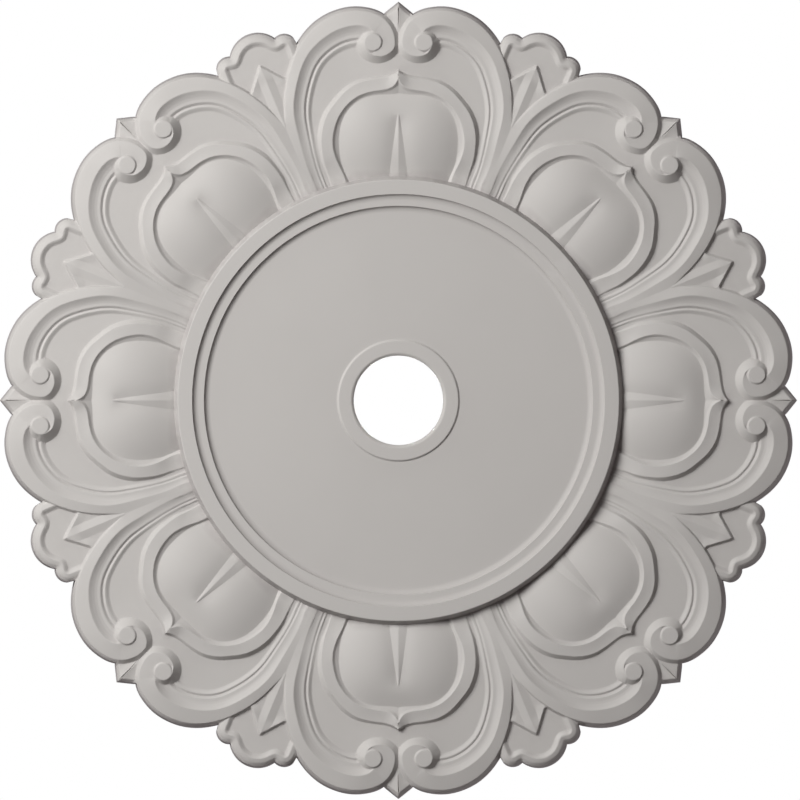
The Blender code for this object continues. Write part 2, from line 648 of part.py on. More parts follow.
def petals_object(root_radius, spacing):
    """All eight petals as one closed ring of carving, a guide for the union."""
    mesh = half_petal_mesh(root_radius, spacing)
    bmesh.ops.mirror(mesh, geom=mesh.verts[:] + mesh.edges[:] + mesh.faces[:],
                     matrix=Matrix.Identity(4), merge_dist=WELD, axis="X")
    bmesh.ops.spin(mesh, geom=mesh.verts[:] + mesh.edges[:] + mesh.faces[:],
                   cent=(0.0, 0.0, 0.0), axis=(0.0, 0.0, 1.0), use_duplicate=True,
                   angle=2.0 * math.pi * (PETAL_COUNT - 1) / PETAL_COUNT, steps=PETAL_COUNT - 1)
    bmesh.ops.remove_doubles(mesh, verts=mesh.verts[:], dist=2 * WELD)
    bmesh.ops.recalc_face_normals(mesh, faces=mesh.faces[:])
    data = bpy.data.meshes.new("petals")
    mesh.to_mesh(data)
    mesh.free()
    return bpy.data.objects.new("petals", data)


def middle_profile():
    """Closed profile of the turned middle, as (radius, height above the back)."""
    lip = HOLE_RADIUS + HOLE_LIP
    collar = HOLE_RADIUS + COLLAR_WIDTH
    collar_height = DISC_HEIGHT + COLLAR_RISE
    ledge_height = DISC_HEIGHT + LEDGE_RISE
    ring_height = ledge_height + RING_RISE
    ledge = DISC_RADIUS + COVE_RUN
    ring_cove = ledge + LEDGE_WIDTH
    ring_inner = ring_cove + COVE_RUN
    ring_outer = ring_inner + RING_WIDTH
    wall = ring_outer + RING_WALL_RUN
    return [
        (HOLE_RADIUS, 0.0),
        (HOLE_RADIUS, collar_height - HOLE_LIP_DEPTH),
        (lip, collar_height),
        (collar, collar_height),
        (collar + COLLAR_STEP_RUN, DISC_HEIGHT),
        *hollow_step(DISC_RADIUS, DISC_HEIGHT, LEDGE_RISE),
        (ledge, ledge_height),
        *hollow_step(ring_cove, ledge_height, RING_RISE),
        (ring_inner, ring_height),
        (ring_outer - EDGE_BREAK, ring_height),
        (ring_outer, ring_height - EDGE_BREAK),
        (wall, FIELD_HEIGHT - ROOT_DEPTH),
        (wall, 0.0),
    ]


def hollow_step(start, low, rise):
    """Profile of a cove that starts flat and ends upright, without its upper edge."""
    turns = np.linspace(0.0, 0.5 * math.pi, COVE_SEGMENTS + 1)[:-1]
    return [
        (start + COVE_RUN * math.sin(turn), low + rise * (1.0 - math.cos(turn)))
        for turn in turns
    ]


def middle_object():
    """Turned middle of the rose: a profile with a Screw modifier."""
    profile = middle_profile()
    corners = [(radius, 0.0, -height) for radius, height in profile]
    edges = [(i, (i + 1) % len(corners)) for i in range(len(corners))]
    data = bpy.data.meshes.new("ceiling_rose")
    data.from_pydata(corners, edges, [])
    middle = bpy.data.objects.new("ceiling_rose", data)
    screw = middle.modifiers.new("turn", "SCREW")
    screw.steps = TURNED_SEGMENTS
    screw.render_steps = TURNED_SEGMENTS
    screw.use_merge_vertices = True
    screw.merge_threshold = WELD
    screw.use_normal_calculate = True
    return middle


def rose_material():
    """Primed moulding: a matt, pale warm grey."""
    material = bpy.data.materials.new("primed_white")
    material.use_nodes = True
    shader = material.node_tree.nodes["Principled BSDF"]
    shader.inputs["Base Color"].default_value = ROSE_COLOUR
    shader.inputs["Roughness"].default_value = ROSE_ROUGHNESS
    shader.inputs["Metallic"].default_value = 0.0
    return material


def clear_scene():
    """Remove whatever the opened file holds."""
    for thing in list(bpy.data.objects):
        bpy.data.objects.remove(thing, do_unlink=True)


def new_collection(name):
    """Collection linked to the scene."""
    collection = bpy.data.collections.new(name)
    bpy.context.scene.collection.children.link(collection)
    return collection


def main():
    clear_scene()
    rose_parts = new_collection("ceiling_rose")
    guides = new_collection("guides")

    rose = middle_object()
    rose_parts.objects.link(rose)
    ring_foot = middle_profile()[-1][0]
    petals = petals_object(ring_foot - ROOT_OVERLAP, GRID_SPACING)
    petals.hide_render = True
    petals.display_type = "WIRE"
    guides.objects.link(petals)

    union = rose.modifiers.new("petals", "BOOLEAN")
    union.operation = "UNION"
    union.solver = "EXACT"
    union.object = petals
    material = rose_material()
    rose.data.materials.append(material)
    petals.data.materials.append(material)


main()
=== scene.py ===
"""Ceiling rose seen from below: a fine primed moulding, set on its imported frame.

The rose hangs face down with its back on the ceiling at z = 0. The moulding is made
as one wedge, half a petal wide: a turned middle, the carving of half a petal, the
side wall and the back. The wedge is mirrored, turned eight times round and welded
into one closed skin, which stands for the frame's node.

Plans and heights are in millimetres on the wedge, where x is measured from the
petal's axis and is negative, y runs outwards along the axis, and a height is above
the back or, on the carving, above the petal's field.
"""

import logging
import math
from dataclasses import dataclass, field
from enum import Enum, IntEnum

import bmesh
import bpy
import numpy as np
from mathutils import Matrix, Vector
from mathutils.geometry import delaunay_2d_cdt


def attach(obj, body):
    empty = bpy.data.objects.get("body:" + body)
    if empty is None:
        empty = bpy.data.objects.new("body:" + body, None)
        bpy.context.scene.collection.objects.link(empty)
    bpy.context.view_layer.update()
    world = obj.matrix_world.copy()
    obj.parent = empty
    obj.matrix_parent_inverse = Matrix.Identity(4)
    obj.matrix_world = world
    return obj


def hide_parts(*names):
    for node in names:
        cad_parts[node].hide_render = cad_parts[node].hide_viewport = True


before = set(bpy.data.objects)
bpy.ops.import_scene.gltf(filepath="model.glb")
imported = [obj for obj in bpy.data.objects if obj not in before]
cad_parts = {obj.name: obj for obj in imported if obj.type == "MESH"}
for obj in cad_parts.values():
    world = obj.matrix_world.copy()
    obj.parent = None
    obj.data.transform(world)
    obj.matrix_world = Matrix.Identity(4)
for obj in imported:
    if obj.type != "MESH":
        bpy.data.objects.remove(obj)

Rows = np.ndarray
Stations = tuple[tuple[float, ...], ...]
Place = tuple[float, float, float]
Colour = tuple[float, float, float, float]

MM = 0.001
PETAL_COUNT = 8
HALF_ANGLE = math.pi / PETAL_COUNT
NOWHERE = -99.0
TINY = 1e-6
PARALLEL = 1e-9
EVEN_SHARE = 0.99

log = logging.getLogger("ceiling_rose")


def linked(name: str, data: bpy.types.ID) -> bpy.types.Object:
    """Make an object of the data and put it in the scene.

    Args:
        name: The object's name.
        data: Its mesh, lamp or camera.

    Returns:
        The object.
    """
    made = bpy.data.objects.new(name, data)
    bpy.context.scene.collection.objects.link(made)
    return made


def smooth(share: Rows) -> Rows:
    """Ease from 0 to 1 as share goes from 0 to 1."""
    share = np.clip(share, 0.0, 1.0)
    return share * share * (3.0 - 2.0 * share)


def between(start: Rows, end: Rows, share: Rows) -> Rows:
    """Blend two heights by a share from 0 to 1."""
    return start + (end - start) * share


def flowing_line(stations: Stations, steps: int) -> Rows:
    """Draw a Catmull-Rom curve through rows of numbers.

    Args:
        stations: The rows that the curve passes through.
        steps: How many points each span between two rows gets.

    Returns:
        The rows of the curve, the last station included.
    """
    rows = np.array(stations, dtype=float)
    rows = np.vstack([2 * rows[0] - rows[1], rows, 2 * rows[-1] - rows[-2]])
    t = np.arange(steps)[:, None] / steps
    spans = []
    for before, start, end, after in zip(rows, rows[1:], rows[2:], rows[3:]):
        bend = 2 * before - 5 * start + 4 * end - after
        twist = 3 * (start - end) + after - before
        spans.append(0.5 * (2 * start + (end - before) * t + bend * t ** 2 + twist * t ** 3))
    return np.vstack(spans + [rows[-2:-1]])


def nearest(points: Rows, line: Rows, batch: int = 6000) -> tuple[Rows, Rows]:
    """Measure how far points lie from a line.

    Args:
        points: Plan points.
        line: Rows of x, y and whatever else the line carries.
        batch: How many points are measured at a time.

    Returns:
        Each point's distance, and the line's own row at the nearest place.
    """
    start = line[:-1]
    run = line[1:] - start
    length = (run[:, :2] ** 2).sum(axis=1)
    gaps, places = [], []
    for low in range(0, len(points), batch):
        offset = points[low:low + batch, None, :2] - start[None, :, :2]
        along = np.clip((offset * run[None, :, :2]).sum(axis=2) / length, 0.0, 1.0)
        gap = np.linalg.norm(offset - along[:, :, None] * run[None, :, :2], axis=2)
        segment = gap.argmin(axis=1)
        rows = np.arange(len(segment))
        gaps.append(gap[rows, segment])
        places.append(start[segment] + along[rows, segment][:, None] * run[segment])
    return np.concatenate(gaps), np.vstack(places)


def inside(points: Rows, corners: Rows) -> Rows:
    """Tell which points lie inside a closed outline.

    Args:
        points: Plan points.
        corners: The outline's corners in order.

    Returns:
        Whether each point lies inside.
    """
    start = corners[:, :2]
    end = np.roll(start, -1, axis=0)
    x, y = points[:, 0:1], points[:, 1:2]
    spans = (start[:, 1] > y) != (end[:, 1] > y)
    rise = np.where(end[:, 1] == start[:, 1], 1.0, end[:, 1] - start[:, 1])
    crossing = start[:, 0] + (y - start[:, 1]) * (end[:, 0] - start[:, 0]) / rise
    return (spans & (x < crossing)).sum(axis=1) % 2 == 1


def offset_line(line: Rows, distance: Rows | float) -> Rows:
    """Draw the plan line at a distance to the left of a line.

    Args:
        line: The plan line.
        distance: How far to its left, one number or one for each point.

    Returns:
        The new line, with a point for each of the old.
    """
    run = np.gradient(line[:, :2], axis=0)
    normal = np.stack([-run[:, 1], run[:, 0]], axis=1)
    normal /= np.linalg.norm(normal, axis=1)[:, None]
    return line[:, :2] + normal * np.reshape(distance, (-1, 1))


def even_offset(line: Rows, depth: float) -> Rows:
    """Draw the plan line at an even depth to the right of a line, without its loops.

    Args:
        line: The plan line.
        depth: How far to its right.

    Returns:
        The points that lie no nearer to the line than that.
    """
    moved = offset_line(line, -depth)
    return moved[nearest(moved, line)[0] > EVEN_SHARE * depth]


def resample(
        line: Rows, spacing: float, bend_step: float = 0.2, closest: float = 3.0) -> Rows:
    """Space the points of a plan line evenly, and closer where it bends.

    Args:
        line: The plan line.
        spacing: The distance between two points where the line is straight.
        bend_step: How far the line may turn between two points, in radians.
        closest: How many times closer than the spacing the points may come.

    Returns:
        The new points, the line's own ends among them.
    """
    line = line[:, :2]
    run = np.diff(line, axis=0)
    length = np.maximum(np.linalg.norm(run, axis=1), TINY)
    heading = np.unwrap(np.arctan2(run[:, 1], run[:, 0]))
    bend = np.abs(np.gradient(heading)) / length if len(run) > 1 else np.zeros(1)
    weight = length * np.maximum(1.0 / spacing, np.minimum(bend / bend_step, closest / spacing))
    mark = np.concatenate([[0.0], np.cumsum(weight)])
    count = max(2, int(round(mark[-1])) + 1)
    wanted = np.linspace(0.0, mark[-1], count)
    return np.stack([np.interp(wanted, mark, line[:, axis]) for axis in (0, 1)], axis=1)


def polar(radius: float, angles: Rows) -> Rows:
    """Plan points on a circle about the rose's centre, by their angle from the axis."""
    return radius * np.stack([-np.sin(angles), np.cos(angles)], axis=1)


def valley_frame(points: Rows) -> Rows:
    """Measure plan points from the line between two petals, x across it and y along.

    Args:
        points: Points in the petal's frame.

    Returns:
        The points in the valley's frame.
    """
    cos, sin = math.cos(HALF_ANGLE), math.sin(HALF_ANGLE)
    across = points[:, 0] * cos + points[:, 1] * sin
    along = points[:, 1] * cos - points[:, 0] * sin
    return np.stack([across, along], axis=1)


def petal_frame(points: Rows | Stations) -> Rows:
    """Measure points of the valley's frame from the petal's axis.

    Args:
        points: Points in the valley's frame.

    Returns:
        The points in the petal's frame.
    """
    points = np.atleast_2d(np.array(points, dtype=float))
    cos, sin = math.cos(HALF_ANGLE), math.sin(HALF_ANGLE)
    x = points[:, 0] * cos - points[:, 1] * sin
    y = points[:, 0] * sin + points[:, 1] * cos
    return np.stack([x, y], axis=1)


def folded(points: Rows) -> Rows:
    """Reflect points from just outside the wedge back into it.

    Args:
        points: Plan points.

    Returns:
        The points, none across the axis or the valley line.
    """
    points = np.stack([-np.abs(points[:, 0]), points[:, 1]], axis=1)
    local = valley_frame(points)
    return petal_frame(np.stack([np.abs(local[:, 0]), local[:, 1]], axis=1))


@dataclass(frozen=True)
class Volute:
    """Round eye that a scroll band winds about."""

    x: float = -26.2
    y: float = 367.3
    radius: float = 8.5
    height: float = 8.2
    slope: float = 1.0
    step_radius: float = 9.0
    step_start: float = 275.0
    step_end: float = 450.0
    face_height: float = 6.6

    def circle(self, radius: float, start: float, end: float, count: int) -> Rows:
        """Draw an arc about the eye, as rows of x, y and the face's height.

        Args:
            radius: Radius of the arc.
            start: Where it starts, in degrees.
            end: Where it ends.
            count: How many points it gets.

        Returns:
            The rows of the arc.
        """
        turn = np.radians(np.linspace(start, end, count))
        x, y = self.x + radius * np.cos(turn), self.y + radius * np.sin(turn)
        return np.stack([x, y, np.full(count, self.face_height)], axis=1)

    def wound(self, stations: Stations, steps: int) -> Rows:
        """Draw a line that winds about the eye.

        Args:
            stations: Rows of turn in degrees, radius, height and the rest.
            steps: How many points each span gets.

        Returns:
            Rows of x, y, height and the rest.
        """
        rows = np.array(stations, dtype=float)
        rows[:, 1] = np.log(rows[:, 1])
        rows = flowing_line(rows, steps)
        angle, radius = np.radians(180.0 + rows[:, 0]), np.exp(rows[:, 1])
        x, y = self.x + radius * np.cos(angle), self.y + radius * np.sin(angle)
        return np.hstack([np.stack([x, y], axis=1), rows[:, 2:]])

    def heights(self, points: Rows) -> Rows:
        """Height of the button in the middle of the volute."""
        gap = np.hypot(points[:, 0] - self.x, points[:, 1] - self.y)
        return self.height - self.slope * np.maximum(gap - self.radius, 0.0)


@dataclass
class Field:
    """Ground of the petal, which rises to the axis and sinks towards the ring."""

    axis_rise: float = 1.7
    axis_width: float = 62.0
    sink: float = 4.0
    sink_start: float = 278.0
    sink_end: float = 229.0

    def heights(self, points: Rows) -> Rows:
        """Height of the ground.

        Args:
            points: Plan points.

        Returns:
            Their heights.
        """
        axis_share = 1.0 - np.abs(points[:, 0]) / self.axis_width
        reach = np.linalg.norm(points, axis=1)
        sunk = smooth((self.sink_start - reach) / (self.sink_start - self.sink_end))
        return self.axis_rise * smooth(axis_share) - self.sink * sunk


@dataclass
class ScrollBand:
    """Flat scroll that curls into the volute, with a cove and a bead inside it."""

    steps: int
    volute: Volute = field(default_factory=Volute)
    ground: Field = field(default_factory=Field)
    outer_stations: Stations = (
        (0, 8.7, 8.2, 0.85), (45, 9.7, 8.0, 0.85), (90, 13.1, 7.5, 0.85),
        (135, 18.7, 7.0, 0.85), (165, 22.3, 6.5, 0.85), (195, 22.6, 6.1, 0.85),
        (225, 24.3, 5.5, 1.0), (255, 27.6, 4.7, 1.0), (285, 32.7, 4.3, 1.0),
        (315, 43.4, 3.9, 1.1), (345, 61.5, 2.9, 1.6), (375, 86.3, 3.8, 1.6),
        (395, 110.0, 4.0, 1.5), (405, 126.1, 3.0, 1.4), (420, 152.0, 0.4, 1.2),
        (432, 190.0, -2.8, 1.2),
    )
    inner_stations: Stations = (
        (277, 13.3, 7.0, 22.5), (300, 19.5, 6.6, 22.5), (327, 30.1, 5.8, 22.5),
        (350, 46.2, 5.1, 22.0), (370, 67.3, 4.9, 21.0), (386, 85.6, 5.3, 20.0),
        (400, 106.2, 5.2, 19.0), (413, 125.2, 3.0, 16.0), (426, 153.9, -0.6, 13.0),
        (434, 177.0, -2.8, 12.0),
    )
    face_start: int = 2
    shoulder_start: int = 5
    wall_width: float = 3.2
    cove_share: float = 0.42
    floor_share: float = 0.55
    groove_share: float = 0.68
    bead_share: float = 0.77
    floor_rise: float = 2.4
    groove_rise: float = 0.8
    bead_rise: float = 1.75
    full_room: float = 4.8
    cove_power: float = 1.6
    cove_parts: tuple[float, ...] = (0.33, 0.66, 1.0)
    axis_cover: float = 2.0
    root: float = 150.0

    def __post_init__(self) -> None:
        """Draw the band's lines and the outlines of its face and of the petal."""
        eye = self.volute
        self.outer = eye.wound(self.outer_stations, self.steps)
        self.inner = eye.wound(self.inner_stations, self.steps)
        self.eye_step = eye.circle(
            eye.step_radius, eye.step_start, eye.step_end, 4 * self.steps)
        self.face_inner = np.vstack([self.eye_step, self.inner[:, :3]])
        face_outer = self.outer[self.face_start * self.steps:, :3]
        self.face_outline = np.vstack([face_outer, self.face_inner[::-1]])
        shoulder = self.outer[self.shoulder_start * self.steps:, :3]
        closing = [[self.axis_cover, self.root, 0.0], [self.axis_cover, shoulder[0][1], 0.0]]
        self.petal_outline = np.vstack([shoulder, closing])

    def heights(self, points: Rows) -> Rows:
        """Height of the band's tilted face, and of the wall outside it.

        Args:
            points: Plan points.

        Returns:
            Their heights.
        """
        outer_gap, outer = nearest(points, self.outer)
        inner_gap, inner = nearest(points, self.face_inner)
        share = outer_gap / np.maximum(outer_gap + inner_gap, TINY)
        face = between(outer[:, 2], inner[:, 2], share)
        wall = outer[:, 2] - outer[:, 3] * outer_gap
        return np.where(inside(points, self.face_outline), face, wall)

    def moulding(self, points: Rows) -> Rows:
        """Height of the cove, floor and bead between the band and the field.

        Args:
            points: Plan points.

        Returns:
            Their heights.
        """
        gap, line = nearest(points, self.inner)
        share = gap / line[:, 3]
        ground = self.ground.heights(points)
        scale = np.clip(line[:, 2] - ground, 0.0, self.full_room) / self.full_room
        floor, groove, bead = (
            rise * scale for rise in (self.floor_rise, self.groove_rise, self.bead_rise))
        cove = np.clip(1.0 - share / self.cove_share, 0.0, 1.0) ** self.cove_power
        height = floor + (line[:, 2] - ground - floor) * cove
        marks = (self.floor_share, self.groove_share, self.bead_share, 1.0)
        levels = (floor, groove, bead, np.zeros(len(points)))
        for start, end, low, high in zip(marks, marks[1:], levels, levels[1:]):
            eased = between(low, high, smooth((share - start) / (end - start)))
            height = np.where(share > start, eased, height)
        return ground + height

    def folds(self) -> list[Rows]:
        """Plan lines along which the band and its mouldings change their slope.

        Returns:
            The lines.
        """
        cove = [self.cove_share * part for part in self.cove_parts]
        bead_side = 0.5 * (self.bead_share + 1.0)
        shares = cove + [self.floor_share, self.groove_share, self.bead_share, bead_side, 1.0]
        return [self.outer, self.inner, self.eye_step] + [
            offset_line(self.inner, self.inner[:, 3] * share) for share in shares]


@dataclass
class TulipFrame:
    """Raised frame shaped like a tulip, with a flat face and a lifted inner edge."""

    steps: int
    outer_stations: Stations = (
        (-66.3, 211, -4.0), (-71.8, 231, -2.2), (-76.9, 247, 1.2), (-79.2, 267, 3.6),
        (-77.0, 283, 4.3), (-72.0, 295.5, 4.3), (-63.5, 307, 4.1), (-54.5, 317, 3.9),
        (-42.5, 325, 3.7), (-28.0, 329, 3.6), (-13.5, 331, 3.9), (-5.5, 333.6, 5.0),
        (0.0, 337.4, 7.0),
    )
    inner_stations: Stations = (
        (-49.8, 211, -4.0), (-56.1, 231, -1.8), (-62.9, 245, 1.2), (-67.0, 258, 3.2),
        (-67.3, 270, 4.1), (-63.6, 286, 4.7), (-55.9, 299.5, 4.9), (-44.0, 310.5, 4.9),
        (-30.0, 316.3, 4.8), (-14.0, 318.8, 4.8), (-6.5, 321.4, 5.4), (-2.4, 325.6, 6.6),
        (0.0, 330.5, 7.6),
    )
    rise_start: float = 0.45
    outer_slope: float = 1.0
    tip_slope: float = 1.0
    tip_height: float = 4.3
    cove_width: float = 5.5
    cove_depth: float = 3.0
    bend_depth: float = 2.2
    foot_slope: float = 0.38
    axis_cover: float = 2.0
    root: float = 150.0

    def __post_init__(self) -> None:
        """Draw the frame's lines, and the outlines of its face and of what it holds."""
        self.outer = flowing_line(self.outer_stations, self.steps)
        self.inner = flowing_line(self.inner_stations, self.steps)
        self.face_outline = np.vstack([self.outer, self.inner[::-1]])
        top, foot = self.inner[-1][1], self.inner[0][0]
        closing = [[self.axis_cover, top], [self.axis_cover, self.root], [foot, self.root]]
        self.held_outline = np.vstack([self.inner[:, :2], closing])

    def heights(self, points: Rows) -> Rows:
        """Height of the frame's face and of the slopes on both sides.

        Args:
            points: Plan points.

        Returns:
            Their heights.
        """
        outer_gap, outer = nearest(points, self.outer)
        inner_gap, inner = nearest(points, self.inner)
        share = outer_gap / np.maximum(outer_gap + inner_gap, TINY)
        rise = smooth((share - self.rise_start) / (1.0 - self.rise_start))
        face = between(outer[:, 2], inner[:, 2], rise)
        cove = 1.0 - np.clip(1.0 - inner_gap / self.cove_width, 0.0, 1.0) ** 2
        past = self.foot_slope * np.maximum(inner_gap - self.cove_width, 0.0)
        steep = self.outer_slope + self.tip_slope * np.maximum(outer[:, 2] - self.tip_height, 0.0)
        slopes = np.where(
            inside(points, self.held_outline),
            inner[:, 2] - self.cove_depth * cove - past,
            outer[:, 2] - steep * outer_gap,
        )
        return np.where(inside(points, self.face_outline), face, slopes)

    def folds(self) -> list[Rows]:
        """Plan lines along which the frame changes its slope."""
        return [self.outer, self.inner, even_offset(self.inner, self.bend_depth)]


@dataclass
class DomedLobe:
    """Domed lobe inside the tulip frame, with a rounded dart on the petal's axis."""

    peak: Place = (-22.6, 279.0, 6.5)
    fall_out: tuple[float, float] = (3.5, 30.0)
    fall_in: tuple[float, float] = (6.1, 45.0)
    fall_side: tuple[float, float] = (4.2, 34.0)
    fall_axis: tuple[float, float] = (1.9, 17.5)
    valley_end: float = 301.0
    foot: float = -5.2
    dart_tip: float = 297.0
    dart_base: float = 229.0
    dart_half_width: float = 12.0
    dart_rise: float = 3.4

    def heights(self, points: Rows) -> Rows:
        """Height of the lobe, with its valley beside the axis.

        Args:
            points: Plan points.

        Returns:
            Their heights.
        """
        side = self.peak[0] - points[:, 0]
        out = points[:, 1] - self.peak[1]
        falls = ((self.fall_out, out), (self.fall_in, -out), (self.fall_side, side))
        height = np.full(len(points), self.peak[2])
        for (depth, width), distance in falls:
            height -= depth * (np.maximum(distance, 0.0) / width) ** 2
        depth, width = self.fall_axis
        valley = smooth((self.valley_end - points[:, 1]) / (self.valley_end - self.peak[1]))
        height -= depth * (np.maximum(-side, 0.0) / width) ** 2 * valley
        return np.maximum(height, self.foot)

    def dart(self, points: Rows) -> Rows:
        """Height of the dart, which follows the lobe down to the ring.

        Args:
            points: Plan points.

        Returns:
            Their heights.
        """
        length = (self.dart_tip - points[:, 1]) / (self.dart_tip - self.dart_base)
        width = self.dart_half_width * np.maximum(length, 1e-3)
        across = np.abs(points[:, 0]) / width
        round_share = np.sqrt(np.clip(1.0 - across ** 2, 0.0, 1.0))
        axis = np.stack([np.zeros(len(points)), points[:, 1]], axis=1)
        rise = self.dart_rise * np.sqrt(np.clip(length, 0.0, 1.0)) * round_share
        return np.where((length > 0.0) & (across < 1.0), self.heights(axis) + rise, self.foot)


@dataclass
class Kite:
    """Kite on the line between two petals: a ridge, troughs and a raised lip."""

    tip: tuple[float, float] = (0.0, 370.0)
    corner: tuple[float, float] = (17.0, 349.0)
    trough: float = 2.0
    trough_ends: tuple[float, float] = (308.0, 360.0)
    ridge: float = 3.6
    ridge_width: float = 8.0
    lip: float = 3.2
    lip_width: float = 6.0
    wall_slope: float = 1.2

    def __post_init__(self) -> None:
        """Draw the edge of the kite's outer half."""
        self.edge = petal_frame((self.tip, self.corner))

    def heights(self, points: Rows) -> Rows:
        """Height of the kite inside its edge and of the short wall outside it.

        Args:
            points: Plan points.

        Returns:
            Their heights.
        """
        local = valley_frame(points)
        gap, _ = nearest(points, self.edge)
        ridge_share = np.clip(1.0 - np.abs(local[:, 0]) / self.ridge_width, 0.0, 1.0)
        top = self.trough + (self.ridge - self.trough) * ridge_share
        lip_share = smooth(1.0 - gap / self.lip_width)
        top = np.maximum(top, between(self.trough, self.lip, lip_share))
        run = (self.tip[1] - self.corner[1]) / self.corner[0]
        within = local[:, 1] < self.tip[1] - run * np.abs(local[:, 0])
        covered = within | (local[:, 1] < self.corner[1])
        return np.where(covered, top, self.lip - self.wall_slope * gap)

    def folds(self) -> list[Rows]:
        """Plan lines along which the kite changes its slope."""
        return [self.edge, petal_frame([(self.ridge_width, y) for y in self.trough_ends])]


@dataclass
class Leaf:
    """Scalloped leaf behind the kite, with a rounded rim along its edge."""

    steps: int
    lobes: Stations = ((0.0, 375.2, 29.2), (30.5, 378.8, 13.1))
    side: float = 308.0
    edge_height: float = -0.6
    rim: float = 2.7
    ground: float = 0.3
    rim_crest: float = 8.0
    rim_width: float = 13.2
    wall_slope: float = 2.0

    def __post_init__(self) -> None:
        """Draw the edge of half the leaf: a large lobe, a small one and a side."""
        (_, large_y, large), (small_x, small_y, small) = self.lobes
        span = math.hypot(small_x, small_y - large_y)
        lean = math.atan2(small_x, small_y - large_y)
        to_cusp = math.acos((span ** 2 + large ** 2 - small ** 2) / (2.0 * span * large))
        from_cusp = math.acos((span ** 2 + small ** 2 - large ** 2) / (2.0 * span * small))
        turn = np.linspace(0.0, lean - to_cusp, self.steps)[:, None]
        large_arc = np.hstack([large * np.sin(turn), large_y + large * np.cos(turn)])
        turn = np.linspace(lean - math.pi + from_cusp, 0.5 * math.pi, self.steps)[1:, None]
        small_arc = np.hstack([small_x + small * np.sin(turn), small_y + small * np.cos(turn)])
        side_foot = [[small_x + small, self.side]]
        self.edge = np.vstack([large_arc, small_arc, side_foot])
        self.outline = np.vstack([self.edge, [[0.0, self.side]]])

    def heights(self, points: Rows) -> Rows:
        """Height of the leaf.

        Args:
            points: Plan points.

        Returns:
            Their heights.
        """
        local = valley_frame(points)
        local[:, 0] = np.abs(local[:, 0])
        depth, _ = nearest(local, self.edge)
        rise = np.sin(0.5 * math.pi * np.clip(depth / self.rim_crest, 0.0, 1.0))
        fall = smooth((depth - self.rim_crest) / (self.rim_width - self.rim_crest))
        height = np.where(
            depth > self.rim_crest, between(self.rim, self.ground, fall),
            between(self.edge_height, self.rim, rise))
        wall = self.edge_height - self.wall_slope * depth
        return np.where(inside(local, self.outline), height, wall)

    def folds(self) -> list[Rows]:
        """Plan lines along the rim's crest, its inner side and its foot."""
        middle = 0.5 * (self.rim_crest + self.rim_width)
        depths = (0.5 * self.rim_crest, self.rim_crest, middle, self.rim_width)
        return [petal_frame(even_offset(self.edge, depth)) for depth in depths]

    def outlines(self) -> list[Rows]:
        """Whole circles of the leaf's lobes, in the petal's frame.

        Returns:
            A closed line for each lobe.
        """
        turn = np.linspace(-math.pi, math.pi, 8 * self.steps + 1)[:, None]
        return [
            petal_frame(np.hstack([x + radius * np.sin(turn), y + radius * np.cos(turn)]))
            for x, y, radius in self.lobes
        ]


@dataclass
class PointedTip:
    """Small pyramid at the end of the petal, between the two volutes."""

    tip: tuple[float, float] = (0.0, 407.5)
    side: tuple[float, float] = (-13.7, 396.4)
    ridge: float = 2.4
    ridge_width: float = 6.85
    side_fall: float = 1.4
    chamfer: float = 3.2
    chamfer_fall: float = 3.2
    shoulder: tuple[float, float] = (-27.4, 380.0)
    wall_slope: float = 2.0

    def __post_init__(self) -> None:
        """Draw the pyramid's outer edge."""
        self.edge = np.array((self.tip, self.side, self.shoulder))
        self.outline = np.vstack([self.edge, [[0.0, self.shoulder[1]]]])

    def heights(self, points: Rows) -> Rows:
        """Height of the pyramid inside its edge and of the wall outside it.

        Args:
            points: Plan points.

        Returns:
            Their heights.
        """
        gap, _ = nearest(points, self.edge)
        side_share = np.clip(np.abs(points[:, 0] / self.ridge_width), 0.0, 1.0)
        top = self.ridge - self.side_fall * side_share
        chamfer = self.chamfer_fall * np.clip(1.0 - gap / self.chamfer, 0.0, 1.0)
        wall = self.chamfer_fall + self.wall_slope * gap
        covered = inside(points, self.outline) | (points[:, 1] < self.shoulder[1])
        return top - np.where(covered, chamfer, wall)

    def folds(self) -> list[Rows]:
        """Plan line along the inner side of the pyramid's chamfer."""
        return [offset_line(self.edge, self.chamfer)]


